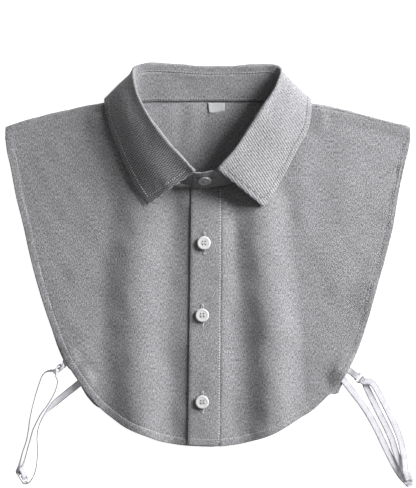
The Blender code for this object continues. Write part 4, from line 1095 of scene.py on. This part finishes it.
def fine_torus(name, at, across, up, major, wire):
    around, section = 72, 18
    a = np.linspace(0, 2 * math.pi, around, endpoint=False)[:, None]
    b = np.linspace(0, 2 * math.pi, section, endpoint=False)[None, :]
    r = major + wire / 2 * np.cos(b)
    points = np.stack([r * np.cos(a), r * np.sin(a), wire / 2 * np.sin(b) + 0 * a], -1).reshape(-1, 3) * MM
    number = np.arange(around * section).reshape(around, section)
    right, up_one = np.roll(number, -1, 1), np.roll(number, -1, 0)
    faces = np.stack([number, right, np.roll(right, -1, 0), up_one], -1).reshape(-1, 4)
    obj = mesh_of(name, points, faces)
    obj.data.transform(pose_of(across, up, at))
    face_out(obj)
    return obj


def fine_slider(name, at, across, up, long, wide):
    """The slotted plate with rounded edges, from one outline and two slots."""
    thick, bar, side = 1.3, 1.1, 1.0
    work = bmesh.new()
    slot = (long - 3 * bar) / 2

    def outline(x0, y0, hx, hy, r, steps):
        places = []
        for cx, cy, start in ((hx - r, hy - r, 0), (-hx + r, hy - r, 90), (-hx + r, -hy + r, 180), (hx - r, -hy + r, 270)):
            for k in range(steps + 1):
                turn = math.radians(start + 90 * k / steps)
                places.append((x0 + cx + r * math.cos(turn), y0 + cy + r * math.sin(turn)))
        return places

    def prism(places, half):
        low = [work.verts.new((x * MM, y * MM, -half * MM)) for x, y in places]
        high = [work.verts.new((x * MM, y * MM, half * MM)) for x, y in places]
        work.faces.new(low[::-1])
        work.faces.new(high)
        for k in range(len(low)):
            j = (k + 1) % len(low)
            work.faces.new((low[k], low[j], high[j], high[k]))

    prism(outline(0, 0, long / 2, wide / 2, 1.6, 8), thick / 2)
    mesh = bpy.data.meshes.new(name)
    work.to_mesh(mesh)
    work.free()
    plate = bpy.data.objects.new(name, mesh)
    bpy.context.scene.collection.objects.link(plate)
    tools = []
    for sign in (-1, 1):
        work = bmesh.new()
        prism(outline(sign * (bar / 2 + slot / 2), 0, slot / 2, wide / 2 - side, 0.5, 4), thick)
        mesh = bpy.data.meshes.new(name + "_slot")
        work.to_mesh(mesh)
        work.free()
        tool = bpy.data.objects.new(name + "_slot", mesh)
        bpy.context.scene.collection.objects.link(tool)
        tools.append(tool)
        cut = plate.modifiers.new("slot", "BOOLEAN")
        cut.operation, cut.solver, cut.object = "DIFFERENCE", "EXACT", tool
    soft = plate.modifiers.new("soft edges", "BEVEL")
    soft.width, soft.segments, soft.limit_method, soft.angle_limit = 0.00028, 3, "ANGLE", math.radians(40)
    apply_modifiers(plate)
    for tool in tools:
        bpy.data.objects.remove(tool)
    plate.data.transform(pose_of(across, up, at))
    plate.data.polygons.foreach_set("use_smooth", [True] * len(plate.data.polygons))
    return plate


def fine_button(name, at, across, up):
    """A turned four-hole button with a rolled rim and a dished middle."""
    half, thick = BUTTON / 2, BUTTON_THICK
    profile = [
        (half - 1.2, 0.0), (half - 0.6, 0.08), (half - 0.25, 0.3), (half - 0.06, 0.65), (half, 1.0), (half - 0.02, 1.45),
        (half - 0.14, 1.75), (half - 0.4, 1.97), (half - 0.8, 2.08), (half - 1.25, 2.1), (half - 1.6, 2.06),
        (half - 1.9, 2.0), (half - 2.3, 1.96), (half - 2.8, 1.95), (0.4, 1.95),
    ]
    steps = 64
    angles = np.linspace(0, 2 * math.pi, steps, endpoint=False)
    points = [(r * math.cos(a) * MM, r * math.sin(a) * MM, z * MM) for r, z in profile for a in angles]
    faces = [
        (i * steps + k, i * steps + (k + 1) % steps, (i + 1) * steps + (k + 1) % steps, (i + 1) * steps + k)
        for i in range(len(profile) - 1) for k in range(steps)
    ]
    faces += [tuple(range(steps))[::-1], tuple(range((len(profile) - 1) * steps, len(profile) * steps))]
    obj = mesh_of(name, points, faces)
    tools = []
    for dx, dy in ((1, 1), (1, -1), (-1, 1), (-1, -1)):
        ring = [(dx * 1.25 + 0.7 * math.cos(a), dy * 1.25 + 0.7 * math.sin(a)) for a in angles[::4]]
        k = len(ring)
        mesh = bpy.data.meshes.new(name + "_hole")
        mesh.from_pydata(
            [(x * MM, y * MM, z * MM) for z in (-1.0, thick + 1.0) for x, y in ring], [],
            [tuple(range(k))[::-1], tuple(range(k, 2 * k))] + [(q, (q + 1) % k, (q + 1) % k + k, q + k) for q in range(k)],
        )
        tool = bpy.data.objects.new(name + "_hole", mesh)
        bpy.context.scene.collection.objects.link(tool)
        tools.append(tool)
        cut = obj.modifiers.new("hole", "BOOLEAN")
        cut.operation, cut.solver, cut.object = "DIFFERENCE", "EXACT", tool
    soft = obj.modifiers.new("soft edges", "BEVEL")
    soft.width, soft.segments, soft.limit_method, soft.angle_limit = 0.00012, 2, "ANGLE", math.radians(50)
    apply_modifiers(obj)
    for tool in tools:
        bpy.data.objects.remove(tool)
    obj.data.transform(pose_of(across, up, at))
    obj.data.polygons.foreach_set("use_smooth", [True] * len(obj.data.polygons))
    return obj


def tube(line, radius, around=8):
    """Points and faces of a closed tube along a few places, in metres."""
    line = np.asarray(line, float)
    ahead = unit(np.gradient(line, axis=0))
    hint = np.array([0.3, 0.2, 0.93])
    side = unit(np.cross(ahead, hint))
    up = unit(np.cross(side, ahead))
    turn = np.linspace(0, 2 * math.pi, around, endpoint=False)
    ring = line[:, None] + (side[:, None] * np.cos(turn)[None, :, None] + up[:, None] * np.sin(turn)[None, :, None]) * radius
    n = len(line)
    number = np.arange(n * around).reshape(n, around)
    after = np.roll(number, -1, 1)
    faces = np.stack([number[:-1], after[:-1], after[1:], number[1:]], -1).reshape(-1, 4).tolist()
    faces += [list(range(around))[::-1], list(range((n - 1) * around, n * around))]
    return ring.reshape(-1, 3), faces


def joined(name, tubes):
    points, faces = [], []
    for ring, some in tubes:
        base = len(points)
        points += list(ring)
        faces += [[k + base for k in f] for f in some]
    obj = mesh_of(name, points, faces)
    face_out(obj)
    return obj


def button_thread(at, across, up):
    """Two bars of several strands, each through a pair of holes."""
    side = np.cross(up, across)
    tubes = []
    for row in (-1, 1):
        for strand, (shift, lift) in enumerate(((-0.11, 0.0), (0.11, 0.05))):
            line = []
            for t in np.linspace(-1, 1, 11):
                height = 1.92 + lift + 0.24 - 0.62 * abs(t) ** 6 - (1.4 if abs(t) > 0.99 else 0)
                line.append(at + (side * t * 1.25 + across * (row * 1.25 + shift) + up * height) * MM)
            tubes.append(tube(line, 0.13 * MM))
    # The shank under the button
    tubes.append(tube([at + up * z * MM for z in (-0.25, 0.2, 0.6)], 1.3 * MM, 12))
    return tubes


def buttonhole(at, along, out, long, wide, surface=None):
    """Close satin stitches on both sides of a slit, with a bar at each end. Places come from surface."""
    side = unit(np.cross(out, along))
    tubes = []
    count = int(long / 0.42)
    for sign in (-1, 1):
        for k in range(count + 1):
            s = -long / 2 + long * k / count
            a, b = at + (along * s + side * sign * 0.22) * MM, at + (along * (s + 0.12) + side * sign * wide / 2) * MM
            line = [p + out * h * MM for p, h in ((a, -0.05), (a * 0.7 + b * 0.3, 0.24), (a * 0.3 + b * 0.7, 0.24), (b, -0.05))]
            tubes.append((line, 0.21))
    for end in (-1, 1):
        for k in range(4):
            s = end * (long / 2 + 0.25 + 0.3 * k)
            a, b = at + (along * s - side * wide / 2) * MM, at + (along * s + side * wide / 2) * MM
            line = [p + out * h * MM for p, h in ((a, -0.05), (a * 0.7 + b * 0.3, 0.3), (a * 0.3 + b * 0.7, 0.3), (b, -0.05))]
            tubes.append((line, 0.2))
    if surface is not None:
        tubes = [([surface(p) for p in line], r) for line, r in tubes]
    return [tube(line, r * MM, 6) for line, r in tubes]


def show(obj, material, slot, *nodes):
    obj.data.materials.clear()
    obj.data.materials.append(material)
    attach(obj, "root")
    if nodes:
        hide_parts(*nodes)
    return obj


# the collar

DARK, PALE = (0.088, 0.087, 0.093), (0.425, 0.423, 0.438)
body_cloth = chambray("chambray_body", DARK, PALE)
stand_cloth = chambray("chambray_stand", DARK, PALE)
pale_thread = thread("thread_pale", (0.66, 0.66, 0.68))
white_thread = thread("thread_white", (0.60, 0.60, 0.61))
bright_thread = thread("thread_bright", (0.80, 0.80, 0.82))
grey_thread = thread("thread_grey", (0.30, 0.30, 0.32))
leaf_thread = thread("thread_leaf", (0.40, 0.40, 0.42))
buttonhole_thread = thread("thread_buttonhole", (0.36, 0.36, 0.38))
# Not thread but painted shade: the near-black of needle holes and buttonhole slits
painted_shade_dark = thread("painted_shade_black", (0.045, 0.045, 0.05))
# The left elastic is a darker copy of the same white elastic, painted shade; both glow a little as painted light
elastics = {"left": elastic("elastic_left_painted_shade", (0.44, 0.44, 0.47), 0.24), "right": elastic("elastic_right", (0.66, 0.66, 0.70), 0.14)}
button_resin = resin("button_resin", (0.62, 0.62, 0.62))
# The collar button's resin is the white resin made grey: painted shade of the leaf's shadow over it
painted_shade_resin = resin("button_resin_painted_shade", (0.30, 0.30, 0.32))
fitting_white = coated("fitting_white", (0.60, 0.60, 0.62))
label_tape = tape("label_tape", (0.50, 0.50, 0.51))

back, back_top, back_up = make_back()
under, _, _ = make_front("front_under_cloth", 6.0, UNDER_EDGE, front_z, (6.0, NECK_LEFT))
over, _, _ = make_front("front_over_cloth", BAND_RIGHT, 410.0, over_z, (410.0, NECK_RIGHT))
band, _, _ = make_band()
(leaf, leaf_top, leaf_up), leaf_far, leaf_across, leaf_along = make_leaf()
(stand, stand_top, stand_up), stand_across = make_stand()
collar_cloth = chambray("chambray_collar", DARK, PALE, ribs=float(leaf_along[-1].mean() / 20))

show(back, body_cloth, "cloth", "back_panel")
show(under, body_cloth, "cloth", "front_under")
show(over, body_cloth, "cloth", "front_over")
show(band, body_cloth, "cloth", "placket")
show(leaf, collar_cloth, "cloth", "collar_leaf")
show(stand, stand_cloth, "cloth", "collar_stand")

# Topstitching of the hem, from one shoulder tip to the other
edge = LOWER_LINE
moved = inset_line(edge, hem_wide(edge[:, 0]) / STEP)
keep = (moved[:, 1] > seam_y(moved[:, 0]) + 2.5) & (to_line(moved[:, 0], moved[:, 1], edge)[0] > hem_wide(edge[:, 0]) / STEP * 0.93)
hem = moved[keep]
runs = [level_run(part[:, 0], part[:, 1], surface_top) for part in (
    hem[hem[:, 0] < BAND_LEFT - 0.8], hem[(hem[:, 0] > BAND_LEFT + 0.8) & (hem[:, 0] < BAND_RIGHT - 1.2)], hem[hem[:, 0] > BAND_RIGHT + 0.6])]
sew("hem_stitches", runs, pale_thread, wide=0.52)

# The join of the buttonhole band
y = np.linspace(189.5, 445.0, 400)
x = 0 * y + 220.2
sew("placket_stitches", [level_run(x, y, band_top)], bright_thread, length=1.45, thick=0.62, wide=0.46)

# Along the shoulder seams, on the back panel's lap
shoulder = []
for first, last in ((9.0, 101.0), (314.0, 407.0)):
    x = np.linspace(first, last, 200)
    y = seam_y(x) - 1.7
    z = CLOTH / 2 + ROLL * 2 + LEAF_BELOW * over_leaf(x, y) + THIN / 2
    shoulder.append((place(x, y, z), np.tile([0.0, 0.0, 1.0], (len(x), 1))))
sew("shoulder_stitches", shoulder, grey_thread)

# Collar leaf: 5 mm inside its ends and its outer edge
n, m = leaf_across.shape
last = np.array([np.interp(leaf_across[i, -1] - 5.0, leaf_across[i], np.arange(m)) for i in range(n)])
first_end = np.array([np.interp(5.0, leaf_along[:, j], np.arange(n)) for j in range(m)])
other_end = np.array([np.interp(leaf_along[-1, j] - 5.0, leaf_along[:, j], np.arange(n)) for j in range(m)])
turn_at = 12
edge_i = np.linspace(0, n - 1, 1400)
edge_j = np.interp(edge_i, np.arange(n), last)
start_i = np.interp(edge_j, np.arange(m), first_end)
stop_i = np.interp(edge_j, np.arange(m), other_end)
inside = (edge_i > start_i) & (edge_i < stop_i)
edge_i, edge_j = edge_i[inside], edge_j[inside]
runs = []
j = np.linspace(turn_at, edge_j[0], 120)
i = np.interp(j, np.arange(m), first_end)
runs.append((on_grid(leaf_top, i, j), on_grid(leaf_up, i, j)))
nape = len(edge_i) // 2
for part in (slice(0, nape), slice(nape, None)):
    runs.append((on_grid(leaf_top, edge_i[part], edge_j[part]), on_grid(leaf_up, edge_i[part], edge_j[part])))
j = np.linspace(edge_j[-1], turn_at, 120)
i = np.interp(j, np.arange(m), other_end)
runs.append((on_grid(leaf_top, i, j), on_grid(leaf_up, i, j)))
sew("leaf_stitches_left", runs[:2], bright_thread, thick=0.60, wide=0.62)
sew("leaf_stitches_right", runs[2:], leaf_thread, wide=0.62)

# Where the leaf's facing is sewn down to the stand, just above its edge inside the neck
n, m = leaf_across.shape
i = np.linspace(2, n - 3, 1500)
j = np.array([np.interp(1.1, leaf_across[k], np.arange(m)) for k in range(n)])
j = np.interp(i, np.arange(n), j)
sew("neck_stitches", [(on_grid(leaf_top, i, j), on_grid(leaf_up, i, j))], pale_thread, thick=0.45)

# Stand: two lines near its seam inside the neck, one on its outer face
n, m = stand_across.shape
i = np.linspace(3, n - 4, 1500)
runs = []
for inset, outside in ((1.7, False), (4.8, False), (2.2, True)):
    j = np.array([np.interp(inset, stand_across[k], np.arange(m)) for k in range(n)])
    j = np.interp(i, np.arange(n), j)
    line, up = on_grid(stand_top, i, j), on_grid(stand_up, i, j)
    runs.append((line - unit(up) * 0.95 * MM, -up) if outside else (line, up))
sew("stand_stitches", runs, pale_thread, thick=0.42)

# Buttons with their thread, and the buttonholes
turn = math.radians(4)
across, up = np.array([math.cos(turn), math.sin(turn), 0.0]), np.array([0.0, 0.0, 1.0])
threads, holes, slit_shades = [], [], []
for number, (bx, by) in enumerate(BUTTONS, 1):
    bz = float(over_z(np.array(bx), np.array(by))) + BAND / 2 + GAP
    at = place(np.array(float(lean(bx, by))), np.array(by), np.array(bz))
    show(fine_button(f"button_{number}_resin", at, across, up), button_resin, "button", f"button_{number}")
    threads += button_thread(at, across, up)

    def down_to_cloth(p):
        sx, sy = p[0] / MM / STEP + MIDDLE_X, MIDDLE_Y - p[1] / MM / STEP
        sx = sx + (sx - float(lean(sx, sy)))
        return np.array([p[0], p[1], p[2] + float(band_top(np.array(sx), np.array(sy))) * MM])

    hole_at = place(np.array(float(lean(bx, by))), np.array(by), np.array(0.0))
    holes += buttonhole(hole_at, np.array([0.012, -1.0, 0.0]), up, 16.4, 2.3, down_to_cloth)
    # Painted shade: dark tubes in each buttonhole's slit, just above and below its button, where the opening shows dark
    for low, high, wide in ((6.2, 7.9, 0.55), (-7.6, -6.2, 0.3)):
        places = [down_to_cloth(hole_at + np.array([0.012, -1.0, 0.0]) * s * MM) + up * 0.02 * MM for s in np.linspace(low, high, 5)]
        slit_shades.append(tube(places, wide * MM, 10))

bottom, top = stand_rows(34)
low, high = bottom[-2] * 0.8 + bottom[-3] * 0.2, top[-2] * 0.8 + top[-3] * 0.2
across = unit(bottom[-3] - bottom[-1])
face = unit(np.cross(across, high - low))
face = face if face[1] < 0 else -face
at = low * 0.42 + high * 0.58 + face * (CLOTH / 2 + GAP) * MM
# The collar button takes the grey resin: painted shade
show(fine_button("button_collar_resin", at, across, face), painted_shade_resin, "button", "button_collar")
threads += button_thread(at, across, face)
holes += buttonhole(at - face * (GAP + 0.1) * MM, across, face, 14.0, 2.8)
show(joined("button_threads", threads), white_thread, "cloth")
show(joined("buttonholes", holes), buttonhole_thread, "cloth")
show(joined("buttonhole_slit_shades", slit_shades), painted_shade_dark, "cloth")

# Straps and fittings
join_runs = []
for side, ring_row, slider_row, tab, outer, far, inner, end in (
    ("left", RING_LEFT, SLIDER_LEFT, TAB_LEFT, LEFT_OUTER, ROUND_FAR_WIDE, LEFT_INNER, LEFT_BAND),
    ("right", RING_RIGHT, SLIDER_RIGHT, TAB_RIGHT, RIGHT_INNER, ROUND_FAR, RIGHT_OUTER, RIGHT_BAND),
):
    ring, slider = frame_at(*ring_row), frame_at(*slider_row)
    obj, line, wide, normal = ribbon(f"tab_{side}_elastic", run_of(tab) + hook(ring, ROUND_NEAR), 0.9)
    show(obj, elastics[side], "elastic", f"tab_{side}")
    course = hook(slider, SEWN_END) + run_of(outer) + hook(ring, far)
    course += run_of(inner) + hook(slider, THROUGH) + run_of(end)
    obj, line, wide, normal = ribbon(f"strap_{side}_elastic", course, 1.2)
    show(obj, elastics[side], "elastic", f"strap_{side}")
    show(fine_torus(f"ring_{side}_wire", ring[0], ring[1], ring[3], RING_RADIUS, RING_WIRE), fitting_white, "fitting", f"ring_{side}")
    show(fine_slider(f"slider_{side}_plate", slider[0], slider[1], slider[3], SLIDER_LONG, SLIDER_WIDE), fitting_white, "fitting", f"slider_{side}")

# The bare label: a tape folded double, its fold downwards, sewn in with the stand
def make_label():
    xs = np.linspace(208, 224.5, 16)
    s = np.linspace(0, 1, 44)
    y0, y1 = 103.2, 112.8
    long = y1 - y0
    x, t = np.meshgrid(xs, s, indexing="ij")
    y = np.where(t < 0.5, y0 + long * t * 2, y1 - long * (t - 0.5) * 2)
    x = x + (y - y0) / long * np.interp(x, [208, 224.5], [1.3, 0.0])
    y = y - 1.6 * (y - y0) / long * ease((x - 214) / 10)
    bend = np.exp(-(((t - 0.5) / 0.045) ** 2))
    z = CLOTH + LEAF_BELOW * over_leaf(x, y) + GAP + 0.30 + np.where(t < 0.5, 0.17, -0.17) * (1 - bend)
    swell = 0.10 * waves(x * STEP, y * STEP, 51, 12, 8)
    y = y + 0.25 * bend
    uv = np.stack([x * STEP / 10, t * long * 2 * STEP / 10], -1)
    return shell("label_tape_bare", place(x, y, z + np.clip(swell, -0.1, 0.15)), 0.24, uv)


label, _, _ = make_label()
show(label, label_tape, "tape", "size_label")

# floor, light, camera


def stage_floor():
    size = 4.0
    points = [(-size, -size, -0.0004), (size, -size, -0.0004), (size, size, -0.0004), (-size, size, -0.0004)]
    floor = mesh_of("floor", points, [(0, 1, 2, 3)])
    material, tree, shader = new_material("floor_paper", 0.9)
    noise = stretched(tree, coordinates(tree, False), (30, 30, 30), 3.0)
    ramp = tree.nodes.new("ShaderNodeValToRGB")
    ramp.color_ramp.elements[0].color, ramp.color_ramp.elements[1].color = (0.44, 0.44, 0.44, 1), (0.46, 0.46, 0.46, 1)
    tree.links.new(noise, ramp.inputs[0])
    tree.links.new(ramp.outputs[0], shader.inputs["Base Color"])
    # A pale table lit a little from below, as for packshots
    shader.inputs["Emission Color"].default_value = (1.0, 1.0, 1.0, 1)
    shader.inputs["Emission Strength"].default_value = 0.93
    floor.data.materials.append(material)


def aimed(obj, at, towards):
    ahead = unit(np.array(towards, float) - np.array(at, float))
    up = np.array([0.0, 1.0, 0.0]) if abs(ahead[1]) < 0.9 else np.array([0.0, 0.0, 1.0])
    right = unit(np.cross(ahead, up))
    rows = np.eye(4)
    rows[:3, 0], rows[:3, 1], rows[:3, 2], rows[:3, 3] = right, np.cross(right, ahead), -ahead, at
    obj.matrix_world = Matrix([list(map(float, row)) for row in rows])


def lamp(name, at, size, energy):
    light = bpy.data.lights.new(name, "AREA")
    light.shape, light.size, light.energy = "DISK", size, energy
    obj = bpy.data.objects.new(name, light)
    bpy.context.scene.collection.objects.link(obj)
    aimed(obj, at, (0, 0.02, 0))


stage_floor()
lamp("key", (1.287, 0.684, 0.708), 0.95, 73)
world = bpy.data.worlds.new("studio")
world.use_nodes = True
world.node_tree.nodes["Background"].inputs["Color"].default_value = (1.0, 1.0, 1.0, 1)
world.node_tree.nodes["Background"].inputs["Strength"].default_value = 0.19
bpy.context.scene.world = world
bpy.context.scene.view_settings.view_transform = "Standard"

camera = bpy.data.cameras.new("camera")
camera.sensor_width, camera.sensor_fit, camera.lens = 36.0, "AUTO", 36.0 * 4.0 / (488 * STEP * MM)
camera.clip_start, camera.clip_end = 0.1, 30.0
eye = bpy.data.objects.new("camera", camera)
bpy.context.scene.collection.objects.link(eye)
middle = place(np.array(208.0), np.array(244.0), np.array(0.0))
eye.location = (float(middle[0]), float(middle[1]), 4.0)
bpy.context.scene.camera = eye
